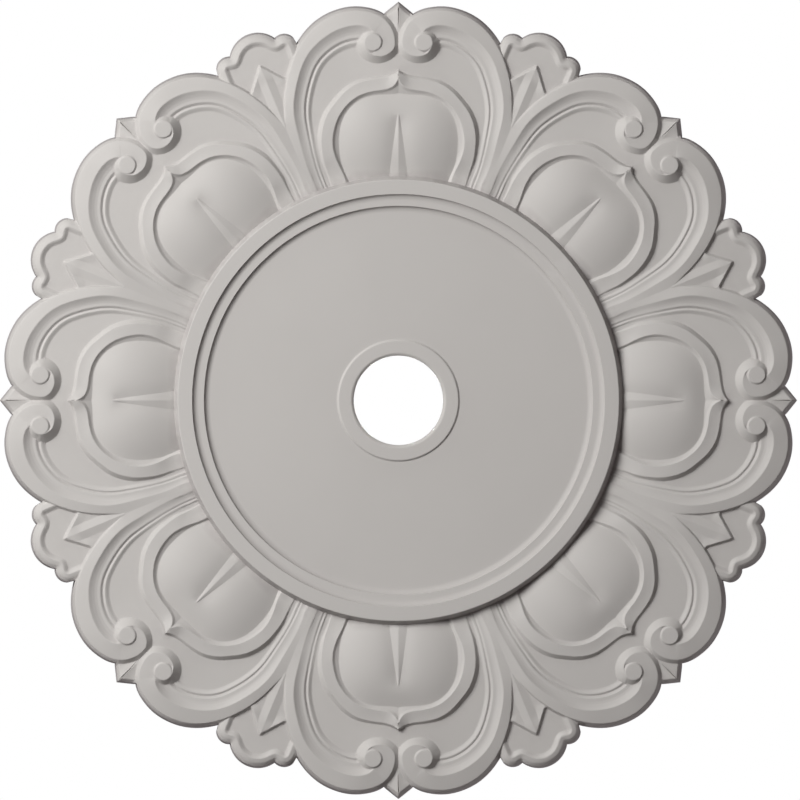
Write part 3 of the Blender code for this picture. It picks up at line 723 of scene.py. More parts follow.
@dataclass
class HalfPetal:
    """Half a petal and the half of the leaf beside it."""

    steps: int = 16
    near_axis: float = -21.9
    edge_blur: float = 0.6
    blur_points: int = 6
    halvings: int = 24
    corner_clear: float = 0.35

    def __post_init__(self) -> None:
        """Make the forms that the petal is carved from."""
        self.band = ScrollBand(self.steps)
        self.frame = TulipFrame(self.steps)
        self.lobe = DomedLobe()
        self.kite = Kite()
        self.leaf = Leaf(self.steps)
        self.point = PointedTip()

    def forms(self, points: Rows) -> Rows:
        """Measure each form by itself at plan points.

        Args:
            points: Plan points in the wedge.

        Returns:
            A row of heights for each form, NOWHERE where a form has no place.
        """
        band = self.band
        in_petal = inside(points, band.petal_outline)
        in_face = inside(points, band.face_outline)
        held = in_petal & inside(points, self.frame.held_outline)
        ground = in_petal & ~held
        by_axis = ~in_petal & (points[:, 0] > self.near_axis)
        by_valley = ~in_petal & ~by_axis
        placed = (
            (band.heights, np.ones(len(points), dtype=bool)),
            (band.volute.heights, np.ones(len(points), dtype=bool)),
            (band.ground.heights, ground),
            (band.moulding, ground & ~in_face),
            (self.frame.heights, in_petal),
            (self.lobe.heights, held),
            (self.lobe.dart, held),
            (self.point.heights, by_axis),
            (self.kite.heights, by_valley),
            (self.leaf.heights, by_valley),
        )
        rows = []
        for heights, where in placed:
            row = np.full(len(points), NOWHERE)
            if where.any():
                row[where] = heights(points[where])
            rows.append(row)
        return np.stack(rows)

    def heights(self, points: Rows) -> Rows:
        """Height of the carving, its creases rounded over as paint rounds them.

        Args:
            points: Plan points, in the wedge or on its border.

        Returns:
            The mean height over a small ring about each point.
        """
        turn = np.radians(np.arange(0.0, 360.0, 360.0 / self.blur_points))
        ring = self.edge_blur * np.stack([np.cos(turn), np.sin(turn)], axis=1)
        total = np.zeros(len(points))
        for shift in np.vstack([[0.0, 0.0], ring]):
            total += self.forms(folded(points + shift)).max(axis=0)
        return total / (len(ring) + 1)

    def reach(self, angles: Rows) -> Rows:
        """Radius to which each outer form reaches, for each direction.

        Args:
            angles: Directions from the petal's axis, in radians.

        Returns:
            A row of radii for each form.
        """
        band_edge = offset_line(self.band.outer, -self.band.wall_width)
        outlines = [band_edge, self.point.edge] + self.leaf.outlines()
        return np.stack([far_crossing(angles, line) for line in outlines])

    def edge(self, steps: int) -> Rows:
        """Draw the outline of the half petal from its tip round to the leaf.

        Args:
            steps: How many directions are looked along.

        Returns:
            Plan points, those where one form passes to the next among them.
        """
        angles = np.linspace(0.0, HALF_ANGLE, steps)
        winner = self.reach(angles).argmax(axis=0)
        corners = []
        for index in np.flatnonzero(np.diff(winner)):
            low, high = angles[index], angles[index + 1]
            for _ in range(self.halvings):
                middle = 0.5 * (low + high)
                same = self.reach(np.array([middle])).argmax() == winner[index]
                low, high = (middle, high) if same else (low, middle)
            corners.append(0.5 * (low + high))
        clear = self.corner_clear * angles[1]
        kept = [a for a in angles if all(abs(a - c) > clear for c in corners)]
        angles = np.array(sorted(kept + corners))
        radius = self.reach(angles).max(axis=0)
        return np.stack([-radius * np.sin(angles), radius * np.cos(angles)], axis=1)

    def folds(self) -> list[Rows]:
        """Plan lines along which a form changes its slope.

        Returns:
            The lines of all the forms.
        """
        eye = self.band.volute
        button = eye.circle(eye.radius, 0.0, 360.0, 8 * self.steps)
        forms = (self.band, self.frame, self.kite, self.leaf, self.point)
        return [line for form in forms for line in form.folds()] + [button]


def far_crossing(angles: Rows, line: Rows) -> Rows:
    """Find where rays from the rose's centre leave a plan line.

    Args:
        angles: Directions from the petal's axis, in radians.
        line: The plan line.

    Returns:
        The greatest radius at which each ray meets the line, or 0.
    """
    ray = np.stack([-np.sin(angles), np.cos(angles)], axis=1)
    start = line[:-1, :2]
    run = np.diff(line[:, :2], axis=0)
    across = ray[:, None, 0] * run[None, :, 1] - ray[:, None, 1] * run[None, :, 0]
    across = np.where(np.abs(across) < PARALLEL, PARALLEL, across)
    radius = (start[:, 0] * run[:, 1] - start[:, 1] * run[:, 0]) / across
    share = (start[:, 0] * ray[:, None, 1] - start[:, 1] * ray[:, None, 0]) / across
    met = (share >= 0.0) & (share <= 1.0)
    return np.where(met, radius, 0.0).max(axis=1)


@dataclass
class CreaseFinder:
    """Finds the plan lines along which one form of the carving rises out of another."""

    shape: HalfPetal
    cell: float = 2.0
    low: tuple[float, float] = (-162.0, 210.0)
    high: tuple[float, float] = (6.0, 412.0)
    side_shift: float = -0.74
    halvings: int = 12
    shortest: int = 3

    def winner(self, points: Rows) -> Rows:
        """Which form is highest at each point."""
        return self.shape.forms(folded(points)).argmax(axis=0)

    def crossing(self, start: Rows, end: Rows) -> Rows:
        """Halve the way between pairs of points down to where the winner changes.

        Args:
            start: Points on one side of a crease.
            end: Points on its other side.

        Returns:
            The points on the crease.
        """
        first = self.winner(start)
        for _ in range(self.halvings):
            middle = 0.5 * (start + end)
            same = (self.winner(middle) == first)[:, None]
            start, end = np.where(same, middle, start), np.where(same, end, middle)
        return 0.5 * (start + end)

    def lines(self) -> list[Rows]:
        """Trace the creases over a square grid.

        Returns:
            The plan lines, each as a row of points.
        """
        xs = np.arange(self.low[0], self.high[0] + self.cell, self.cell) + self.side_shift
        ys = np.arange(self.low[1], self.high[1] + self.cell, self.cell)
        grid = np.stack(np.meshgrid(xs, ys, indexing="ij"), axis=-1)
        index = self.winner(grid.reshape(-1, 2)).reshape(grid.shape[:2])
        places, links = {}, {}
        for axis in (0, 1):
            shift = (1, 0) if axis == 0 else (0, 1)
            ends = index[shift[0]:, shift[1]:]
            starts = index[:ends.shape[0], :ends.shape[1]]
            cells = np.argwhere(starts != ends)
            start = grid[cells[:, 0], cells[:, 1]]
            end = grid[cells[:, 0] + shift[0], cells[:, 1] + shift[1]]
            for (i, j), place in zip(cells, self.crossing(start, end)):
                places[(axis, i, j)] = place
        for i in range(len(xs) - 1):
            for j in range(len(ys) - 1):
                sides = ((0, i, j), (0, i, j + 1), (1, i, j), (1, i + 1, j))
                met = [side for side in sides if side in places]
                if len(met) == 2:
                    links.setdefault(met[0], []).append(met[1])
                    links.setdefault(met[1], []).append(met[0])
        return self.chains(places, links)

    def chains(self, places: dict, links: dict) -> list[Rows]:
        """String linked crossings into lines.

        Args:
            places: Plan point of each crossing, by its side of the grid.
            links: The crossings that each crossing is joined to.

        Returns:
            The plan lines, without the shortest scraps.
        """
        lines = []
        waiting = dict.fromkeys(sorted(links, key=lambda side: (len(links[side]), side)))
        while waiting:
            side = next(iter(waiting))
            chain = []
            while side is not None:
                waiting.pop(side)
                chain.append(places[side])
                side = next((other for other in links[side] if other in waiting), None)
            if len(chain) >= self.shortest:
                lines.append(self.calmed(np.array(chain)))
        return lines

    @staticmethod
    def calmed(line: Rows) -> Rows:
        """Even out the steps of a traced line, its ends left where they are.

        Args:
            line: The traced line.

        Returns:
            The smoother line.
        """
        for _ in range(2):
            inner = 0.25 * line[:-2] + 0.5 * line[1:-1] + 0.25 * line[2:]
            line = np.vstack([line[:1], inner, line[-1:]])
        return line


@dataclass
class TurnedMiddle:
    """Flat round middle with a collared centre hole, inside a stepped ring."""

    hole_radius: float = 46.0
    hole_lip: float = 2.4
    hole_lip_depth: float = 1.68
    collar_width: float = 15.4
    collar_rise: float = 1.8
    collar_step: float = 1.4
    disc_radius: float = 193.1
    cove_run: float = 6.4
    ledge_width: float = 5.6
    ring_width: float = 14.8
    disc_height: float = 21.2
    ledge_rise: float = 4.2
    ring_rise: float = 4.2
    hole_edge: float = 1.0
    lip_edge: float = 1.2
    outer_edge: float = 0.9
    cove_edge: float = 0.35
    cove_steps: int = 6
    disc_step: float = 19.0
    corner_steps: int = 4

    def corners(self) -> Stations:
        """Corners of the profile, as (radius, height, rounding).

        Returns:
            The corners, from the back of the hole outwards.
        """
        collar_height = self.disc_height + self.collar_rise
        ledge_height = self.disc_height + self.ledge_rise
        ring_height = ledge_height + self.ring_rise
        lip = self.hole_radius + self.hole_lip
        collar = self.hole_radius + self.collar_width
        ledge = self.disc_radius + self.cove_run
        ring_cove = ledge + self.ledge_width
        ring_inner = ring_cove + self.cove_run
        ring_outer = ring_inner + self.ring_width
        return (
            (self.hole_radius, 0.0, 0.0),
            (self.hole_radius, collar_height - self.hole_lip_depth, self.hole_edge),
            (lip, collar_height, self.lip_edge),
            (collar, collar_height, self.outer_edge),
            (collar + self.collar_step, self.disc_height, self.outer_edge),
            *self.cove(self.disc_radius, self.disc_height, self.ledge_rise),
            (ledge, ledge_height, self.cove_edge),
            *self.cove(ring_cove, ledge_height, self.ring_rise),
            (ring_inner, ring_height, self.cove_edge),
            (ring_outer, ring_height, self.outer_edge),
        )

    def cove(self, start: float, low: float, rise: float) -> list[tuple[float, float, float]]:
        """Draw a hollow step that starts flat and ends upright.

        Args:
            start: Radius at which the step starts.
            low: Height below it.
            rise: How high it is.

        Returns:
            Corners of the profile, without the step's upper edge.
        """
        turn = np.linspace(0.0, 0.5 * math.pi, self.cove_steps + 1)[:-1]
        return [
            (start + self.cove_run * math.sin(t), low + rise * (1.0 - math.cos(t)), 0.0)
            for t in turn
        ]

    def profile(self, foot: tuple[float, float]) -> Rows:
        """Draw the profile from the back of the hole out to the ring's outer edge.

        Args:
            foot: Radius and height of the ring's foot, where the wall beyond leads.

        Returns:
            Rows of radius and height.
        """
        corners = list(self.corners()) + [(*foot, 0.0)]
        rows = [np.array(corners[0][:2])]
        for before, corner, after in zip(corners, corners[1:], corners[2:]):
            start, middle, end = (np.array(row[:2]) for row in (before, corner, after))
            inward = middle + (start - middle) * corner[2] / np.linalg.norm(start - middle)
            outward = middle + (end - middle) * corner[2] / np.linalg.norm(end - middle)
            rows += self.stretch(rows[-1], inward)
            if corner[2] == 0.0:
                rows.append(middle)
                continue
            rows += [
                (1 - t) ** 2 * inward + 2 * t * (1 - t) * middle + t ** 2 * outward
                for t in np.linspace(0.0, 1.0, self.corner_steps + 1)
            ]
        return np.vstack(rows)

    def stretch(self, start: Rows, end: Rows) -> list[Rows]:
        """Space points between two corners, no further apart than a disc step."""
        count = int(np.linalg.norm(end - start) / self.disc_step)
        return [between(start, end, share) for share in np.arange(1, count + 1) / (count + 1)]


class Surface(IntEnum):
    """Surfaces of the rose that are finished differently."""

    FACE = 0
    BACK = 1
    SIDE = 2


@dataclass
class Wedge:
    """Half a petal's width of the whole rose: middle, carving, side wall and back."""

    shape: HalfPetal = field(default_factory=HalfPetal)
    middle: TurnedMiddle = field(default_factory=TurnedMiddle)
    field_height: float = 21.8
    relief: float = 1.2
    ring_foot: float = 230.5
    side_draft: float = 3.1
    turn_steps: int = 16
    outline_steps: int = 90
    grid_spacing: float = 5.4
    fold_spacing: float = 3.6
    crease_width: float = 0.6
    closest: float = 0.35
    rim_drop: float = 0.3
    wall_rows: tuple[float, ...] = (0.0, 0.06, 0.95, 1.0)
    back_rows: int = 4
    low: tuple[float, float] = (-164.0, 210.0)
    high: tuple[float, float] = (4.0, 412.0)
    mirror_ends: tuple[float, float] = (200.0, 420.0)
    reach: float = 430.0
    snap: float = 0.01
    plan_tolerance: float = 1e-4

    def turns(self) -> Rows:
        """Angles at which the turned middle's columns stand."""
        return np.linspace(0.0, HALF_ANGLE, self.turn_steps + 1)

    def border(self) -> Rows:
        """Draw the plan's border: the outer edge, the valley, the root and the axis.

        Returns:
            The border's points in order.
        """
        edge = self.shape.edge(self.outline_steps)
        root = polar(self.ring_foot, np.linspace(HALF_ANGLE, 0.0, self.turn_steps + 1))
        valley = resample(np.array([edge[-1], root[0]]), self.fold_spacing)
        axis = resample(np.array([root[-1], edge[0]]), self.fold_spacing)
        return np.vstack([edge, valley[1:-1], root, axis[1:-1]])

    def plan(self) -> tuple[Rows, Rows]:
        """Lay out the carving's triangles, closer together along its creases.

        Returns:
            The plan points, and the triangles as rows of three indices.
        """
        border = self.border()
        ring = np.vstack([border, border[:1]])
        placed = [border]
        edges = [(i, (i + 1) % len(border)) for i in range(len(border))]
        folds = self.shape.folds() + CreaseFinder(self.shape).lines()
        mirror_line = np.array([(0.0, y) for y in self.mirror_ends])
        for fold in folds + [mirror_line, petal_frame(mirror_line)]:
            centre = resample(fold, self.fold_spacing)
            for shift in (0.0, self.crease_width, -self.crease_width):
                line = offset_line(centre, shift)
                within = inside(line, border)
                clear = nearest(line, ring)[0] > self.closest
                others = np.vstack(placed)
                gap = np.linalg.norm(line[:, None] - others[None], axis=2).min(axis=1)
                use = ~within | (clear & (gap > self.closest))
                near = np.linalg.norm(line, axis=1) < self.reach
                line = line[use & near]
                count = sum(len(rows) for rows in placed)
                placed.append(line)
                edges += [(count + i, count + i + 1) for i in range(len(line) - 1)]
        placed = np.vstack(placed)
        grid = self.grid(border, placed)
        found, faces = self.triangles(np.vstack([placed, grid]), edges)
        faces = faces[inside(found[faces].mean(axis=1), border)]
        used, faces = np.unique(faces, return_inverse=True)
        return self.snapped(found[used]), faces.reshape(-1, 3)

    def grid(self, border: Rows, placed: Rows) -> Rows:
        """Fill the plan with an even grid, clear of the points already placed.

        Args:
            border: The plan's border.
            placed: The points already placed.

        Returns:
            The grid's points.
        """
        row_spacing = self.grid_spacing * math.sin(math.pi / 3)
        rows = np.arange(self.low[1], self.high[1], row_spacing)
        columns = np.arange(self.low[0], self.high[0], self.grid_spacing)
        grid = np.array([
            (x + 0.5 * self.grid_spacing * (index % 2), y)
            for index, y in enumerate(rows) for x in columns
        ])
        grid = grid[inside(grid, border)]
        gap = np.linalg.norm(grid[:, None] - placed[None], axis=2).min(axis=1)
        return grid[gap > 0.5 * self.grid_spacing]

    def triangles(self, points: Rows, edges: list) -> tuple[Rows, Rows]:
        """Join plan points into Delaunay triangles that keep the given edges.

        Args:
            points: Plan points.
            edges: Pairs of indices, the edges to keep.

        Returns:
            The points, and the triangles as rows of three indices.
        """
        plan = [Vector(point) for point in points]
        result = delaunay_2d_cdt(plan, edges, [], 0, self.plan_tolerance)
        found = np.array([tuple(vertex) for vertex in result[0]])
        return found, np.array([face for face in result[2] if len(face) == 3])

    def snapped(self, points: Rows) -> Rows:
        """Put the points beside the two mirror lines exactly on them.

        Args:
            points: Plan points.

        Returns:
            The points, those beside a mirror line moved onto it.
        """
        points = points.copy()
        points[np.abs(points[:, 0]) < self.snap, 0] = 0.0
        local = valley_frame(points)
        beside = np.abs(local[:, 0]) < self.snap
        local[beside, 0] = 0.0
        points[beside] = petal_frame(local)[beside]
        return points

    def build(self) -> bmesh.types.BMesh:
        """Make the wedge's open skin, face down, in millimetres.

        Returns:
            The mesh; each face carries the number of its surface as its material.
        """
        points, faces = self.plan()
        heights = self.field_height + self.relief * self.shape.heights(points)
        sides = np.vstack([faces[:, [0, 1]], faces[:, [1, 2]], faces[:, [2, 0]]])
        _, first, counts = np.unique(
            np.sort(sides, axis=1), axis=0, return_index=True, return_counts=True)
        single = sides[first[counts == 1]]
        on_axis = np.abs(points[:, 0]) < TINY
        on_valley = np.abs(valley_frame(points)[:, 0]) < self.plan_tolerance
        on_root = np.linalg.norm(points, axis=1) < self.ring_foot + self.snap
        inner = [line[single].all(axis=1) for line in (on_axis, on_valley, on_root)]
        outer = single[~np.any(inner, axis=0)]
        rim = np.unique(outer)
        heights[rim] -= self.rim_drop

        mesh = bmesh.new()
        top = [mesh.verts.new((x, y, -z)) for (x, y), z in zip(points, heights)]
        for face in faces:
            mesh.faces.new([top[index] for index in face])
        back = self.side_wall(mesh, points, heights, top, outer, rim)
        self.middle_part(mesh, points[on_root], heights[on_root])
        self.back_part(mesh, back)
        return mesh

    def side_wall(self, mesh: bmesh.types.BMesh, points: Rows, heights: Rows,
                  top: list, outer: Rows, rim: Rows) -> dict:
        """Make the wall from the carving's outer edge to the back.

        Args:
            mesh: The wedge's mesh.
            points: The plan points.
            heights: Their heights above the back.
            top: Their vertices.
            outer: Pairs of indices, the edges that the wall hangs from.
            rim: The indices of the points on those edges.

        Returns:
            The wall's vertices on the back, by the index of the point above.
        """
        columns = {}
        for index in rim:
            place = points[index]
            column = [top[index]]
            for share in self.wall_rows[1:]:
                grow = 1.0 + share * self.side_draft / np.linalg.norm(place)
                height = heights[index] * (1.0 - share)
                column.append(mesh.verts.new((*(place * grow), -height)))
            columns[index] = column
        for start, end in outer:
            for row in range(len(self.wall_rows) - 1):
                low, high = columns[start], columns[end]
                made = mesh.faces.new((low[row], high[row], high[row + 1], low[row + 1]))
                made.material_index = Surface.SIDE
        return {index: column[-1] for index, column in columns.items()}

    def middle_part(self, mesh: bmesh.types.BMesh, root: Rows, heights: Rows) -> None:
        """Make the turned middle's face and back.

        Args:
            mesh: The wedge's mesh.
            root: Plan points at the ring's foot.
            heights: Their heights above the back.
        """
        face = self.middle.profile((self.ring_foot, heights.mean()))
        radii = np.linspace(self.ring_foot, self.middle.hole_radius, self.back_rows)[:-1]
        back = np.stack([radii, np.zeros(len(radii))], axis=1)
        columns = [
            [mesh.verts.new((-radius * math.sin(turn), radius * math.cos(turn), -z))
             for radius, z in np.vstack([back, face])]
            for turn in self.turns()
        ]
        for low, high in zip(columns, columns[1:]):
            for row in range(len(low) - 1):
                made = mesh.faces.new((low[row], low[row + 1], high[row + 1], high[row]))
                made.material_index = Surface.BACK if row < self.back_rows - 1 else Surface.FACE
        foot_turns = np.arctan2(-root[:, 0], root[:, 1])
        order = np.argsort(foot_turns)
        foot = [mesh.verts.new((x, y, -z)) for (x, y), z in zip(root[order], heights[order])]
        rows = ([column[-1] for column in columns], foot)
        self.zip_rows(mesh, rows, (self.turns(), foot_turns[order]))

    @staticmethod
    def zip_rows(mesh: bmesh.types.BMesh, rows: tuple[list, list],
                 turns: tuple[Rows, Rows]) -> None:
        """Join two rows of vertices by one strip of triangles.

        Args:
            mesh: The wedge's mesh.
            rows: The vertices of the inner and of the outer row.
            turns: The angle at which each of them stands.
        """
        (inner, outer), (inner_turns, outer_turns) = rows, turns
        i = j = 0
        while i < len(inner) - 1 or j < len(outer) - 1:
            if j == len(outer) - 1 or (
                    i < len(inner) - 1 and inner_turns[i + 1] <= outer_turns[j + 1]):
                mesh.faces.new((inner[i], inner[i + 1], outer[j]))
                i += 1
            else:
                mesh.faces.new((inner[i], outer[j + 1], outer[j]))
                j += 1

    def back_part(self, mesh: bmesh.types.BMesh, back: dict) -> None:
        """Close the back of the petals.

        Args:
            mesh: The wedge's mesh.
            back: The side wall's vertices on the back.
        """
        wall = sorted(back.values(), key=lambda vertex: math.atan2(-vertex.co.x, vertex.co.y))
        root = polar(self.ring_foot, self.turns()[::-1])
        loop = wall + [mesh.verts.new((x, y, 0.0)) for x, y in root]
        corners = np.array([vertex.co.xy for vertex in loop])
        edges = [(i, (i + 1) % len(loop)) for i in range(len(loop))]
        found, faces = self.triangles(corners, edges)
        faces = faces[inside(found[faces].mean(axis=1), corners)]
        for face in faces:
            made = mesh.faces.new([loop[index] for index in face])
            made.material_index = Surface.BACK


@dataclass(frozen=True)
class Nodes:
    """Places and joins the nodes of one tree."""

    tree: bpy.types.NodeTree

    def add(self, kind: str, settings: dict | None = None, **values: object) -> bpy.types.Node:
        """Place a node.

        Args:
            kind: The node's type.
            settings: Properties of the node itself.
            values: Its inputs by name, words joined by underscores, each a number, a
                colour or the socket that feeds it.

        Returns:
            The node.
        """
        node = self.tree.nodes.new(kind)
        for name, value in (settings or {}).items():
            setattr(node, name, value)
        for name, value in values.items():
            self.feed(node.inputs[name.replace("_", " ")], value)
        return node

    def join(self, start: bpy.types.NodeSocket, end: bpy.types.NodeSocket) -> None:
        """Join an output to an input."""
        self.tree.links.new(start, end)

    def feed(self, socket: bpy.types.NodeSocket, value: object) -> None:
        """Set an input to a number or a colour, or join it to an output.

        Args:
            socket: The input.
            value: The number or colour, or another node's output.
        """
        if isinstance(value, bpy.types.NodeSocket):
            self.join(value, socket)
        else:
            socket.default_value = value

    def reckon(self, operation: str, first: object, second: object) -> bpy.types.NodeSocket:
        """Reckon with two numbers, or with the sockets that give them.

        Args:
            operation: What the Math node does with them.
            first: The first number or socket.
            second: The second.

        Returns:
            The output with the result.
        """
        node = self.add("ShaderNodeMath", {"operation": operation})
        for socket, value in zip(node.inputs, (first, second)):
            self.feed(socket, value)
        return node.outputs[0]

    def group(self, tree: bpy.types.NodeTree, **values: object) -> bpy.types.Node:
        """Place a node group, its inputs set as add sets them."""
        return self.add("ShaderNodeGroup", {"node_tree": tree}, **values)


def new_group(name: str, inputs: dict[str, float], outputs: tuple[str, ...]) -> Nodes:
    """Start a shader node group.

    Args:
        name: The group's name.
        inputs: Its inputs and the value that each starts with.
        outputs: Its outputs, all numbers.

    Returns:
        The group's nodes, still to be placed.
    """
    tree = bpy.data.node_groups.new(name, "ShaderNodeTree")
    for label, value in inputs.items():
        socket = tree.interface.new_socket(label, in_out="INPUT", socket_type="NodeSocketFloat")
        socket.default_value = value
    for label in outputs:
        tree.interface.new_socket(label, in_out="OUTPUT", socket_type="NodeSocketFloat")
    return Nodes(tree)


@dataclass(frozen=True)
class CastSkin:
    """Node group: the faint clouding, fine grain and small pores of a cast skin."""

    name: str = "cast_skin"
    pore_width: float = 0.22

    def build(self) -> bpy.types.NodeTree:
        """Make the group once.

        Returns:
            The group, which puts out Tone, Grain and Height.
        """
        made = bpy.data.node_groups.get(self.name)
        if made:
            return made
        nodes = new_group(
            self.name,
            {"Cloud Scale": 9.0, "Grain Scale": 900.0, "Pore Scale": 260.0, "Pore Depth": 0.3},
            ("Tone", "Grain", "Height"),
        )
        given = nodes.add("NodeGroupInput").outputs
        place = nodes.add("ShaderNodeTexCoord").outputs["Object"]
        cloud = nodes.add(
            "ShaderNodeTexNoise", Vector=place, Scale=given["Cloud Scale"], Detail=5.0,
            Roughness=0.55)
        grain = nodes.add(
            "ShaderNodeTexNoise", Vector=place, Scale=given["Grain Scale"], Detail=2.0)
        pores = nodes.add("ShaderNodeTexVoronoi", Vector=place, Scale=given["Pore Scale"])
        pore = nodes.add(
            "ShaderNodeMapRange", Value=pores.outputs["Distance"], From_Min=0.0,
            From_Max=self.pore_width)
        sunk = nodes.reckon("MULTIPLY", pore.outputs["Result"], given["Pore Depth"])
        height = nodes.reckon("ADD", sunk, grain.outputs["Fac"])
        nodes.add(
            "NodeGroupOutput", Tone=cloud.outputs["Fac"], Grain=grain.outputs["Fac"],
            Height=height)
        return nodes.tree


@dataclass(frozen=True)
class EdgeAndHollowShade:
    """Node group: a mask of the sharp edges, and a mask of the creases and recesses, where the
    finishes paint in shade.
    """

    name: str = "edge_and_hollow_shade"
    flat: float = 0.5

    def build(self) -> bpy.types.NodeTree:
        """Make the group once.

        Returns:
            The group, which puts out Edge, the sharp edges, and a second mask, the creases and
            recesses for painted shade.
        """
        made = bpy.data.node_groups.get(self.name)
        if made:
            return made
        nodes = new_group(self.name, {"Reach": 0.08}, ("Edge", "Hollow Shade"))
        given = nodes.add("NodeGroupInput").outputs
        bend = nodes.add("ShaderNodeNewGeometry").outputs["Pointiness"]
        masks = {}
        # Edge rises on sharp edges; the second mask rises in creases and recesses, which the
        # finishes darken as painted shade.
        for label, operation in (("Edge", "ADD"), ("Hollow Shade", "SUBTRACT")):
            end = nodes.reckon(operation, self.flat, given["Reach"])
            mask = nodes.add("ShaderNodeMapRange", Value=bend, From_Min=self.flat, From_Max=end)
            masks[label] = mask.outputs["Result"]
        nodes.add("NodeGroupOutput", **masks)
        return nodes.tree


@dataclass(frozen=True)
class CastFinish:
    """Finish of a cast face: a clouded colour, lighter sharp edges, painted shade in creases and
    recesses, grain and pores.
    """

    name: str
    dark: Colour
    light: Colour
    edge: Colour
    # The next colour and its strength give the painted shade in creases and recesses.
    hollow_shade: Colour
    roughness: tuple[float, float]
    edge_strength: float = 0.25
    hollow_shade_strength: float = 0.5
    grain_scale: float = 900.0
    pore_scale: float = 260.0
    pore_depth: float = 0.3
    bump: float = 0.12
    bump_depth: float = 0.00012
    specular: float = 0.35

    def material(self) -> bpy.types.Material:
        """Make the material.

        Returns:
            The material, which takes its pattern from the shared groups.
        """
        material = bpy.data.materials.new(self.name)
        material.use_nodes = True
        nodes = Nodes(material.node_tree)
        shader = material.node_tree.nodes["Principled BSDF"]
        skin = nodes.group(
            CastSkin().build(), Grain_Scale=self.grain_scale, Pore_Scale=self.pore_scale,
            Pore_Depth=self.pore_depth)
        edge_and_shade_masks = nodes.group(EdgeAndHollowShade().build())
        tone = self.mixed(nodes, skin.outputs["Tone"], 1.0, self.dark, self.light)
        # Lighter colour on the sharp edges.
        with_light_edges = self.mixed(nodes, edge_and_shade_masks.outputs["Edge"], self.edge_strength, tone, self.edge)
        # Darker, purplish colour in creases and recesses: painted shade.
        shaded_recesses = self.mixed(nodes, edge_and_shade_masks.outputs["Hollow Shade"], self.hollow_shade_strength, with_light_edges, self.hollow_shade)
        nodes.join(shaded_recesses, shader.inputs["Base Color"])
        smoothest, roughest = self.roughness
        gloss = nodes.add(
            "ShaderNodeMapRange", Value=skin.outputs["Grain"], To_Min=smoothest, To_Max=roughest)
        nodes.join(gloss.outputs["Result"], shader.inputs["Roughness"])
        relief = nodes.add(
            "ShaderNodeBump", Height=skin.outputs["Height"], Strength=self.bump,
            Distance=self.bump_depth)
        nodes.join(relief.outputs["Normal"], shader.inputs["Normal"])
        shader.inputs["Specular IOR Level"].default_value = self.specular
        return material

    @staticmethod
    def mixed(nodes: Nodes, mask: bpy.types.NodeSocket, strength: float,
              start: object, end: object) -> bpy.types.NodeSocket:
        """Mix two colours by a mask.

        Args:
            nodes: The material's nodes.
            mask: The socket that says where the second colour shows.
            strength: How much of it shows there.
            start: The first colour, or the socket that gives it.
            end: The second colour.

        Returns:
            The socket with the mixed colour.
        """
        share = nodes.reckon("MULTIPLY", mask, strength)
        mix = nodes.add("ShaderNodeMix", {"data_type": "RGBA"}, Factor=share)
        for socket, colour in zip(mix.inputs[6:8], (start, end)):
            nodes.feed(socket, colour)
        return mix.outputs[2]


PRIMED_FACE = CastFinish(
    name="primed_face",
    dark=(0.545, 0.530, 0.514, 1.0), light=(0.585, 0.569, 0.552, 1.0),
    # The darkest colour, for creases and recesses, is painted shade.
    edge=(0.640, 0.626, 0.614, 1.0), hollow_shade=(0.340, 0.310, 0.312, 1.0),
    roughness=(0.52, 0.66),
)
# Finish of the side wall: rougher, more pitted cast skin. Its colours are darker and pinker than
# the face's as painted shade, and its darkest colour, for creases and recesses, is painted shade
# too.
SHADED_CAST_SIDE = CastFinish(
    name="cast_side_shaded",
    dark=(0.500, 0.478, 0.478, 1.0), light=(0.560, 0.538, 0.536, 1.0),
    edge=(0.600, 0.580, 0.575, 1.0), hollow_shade=(0.380, 0.350, 0.355, 1.0),
    roughness=(0.60, 0.75), pore_scale=200.0, pore_depth=0.6, bump=0.25,
)
CAST_BACK = CastFinish(
    name="cast_back",
    dark=(0.500, 0.480, 0.440, 1.0), light=(0.590, 0.570, 0.525, 1.0),
    # The darker colour for creases and recesses is painted shade.
    edge=(0.620, 0.600, 0.560, 1.0), hollow_shade=(0.420, 0.400, 0.370, 1.0),
    roughness=(0.70, 0.85), pore_scale=140.0, pore_depth=1.2, bump=0.5, bump_depth=0.0004,
)

FINISHES = {Surface.FACE: PRIMED_FACE, Surface.BACK: CAST_BACK, Surface.SIDE: SHADED_CAST_SIDE}


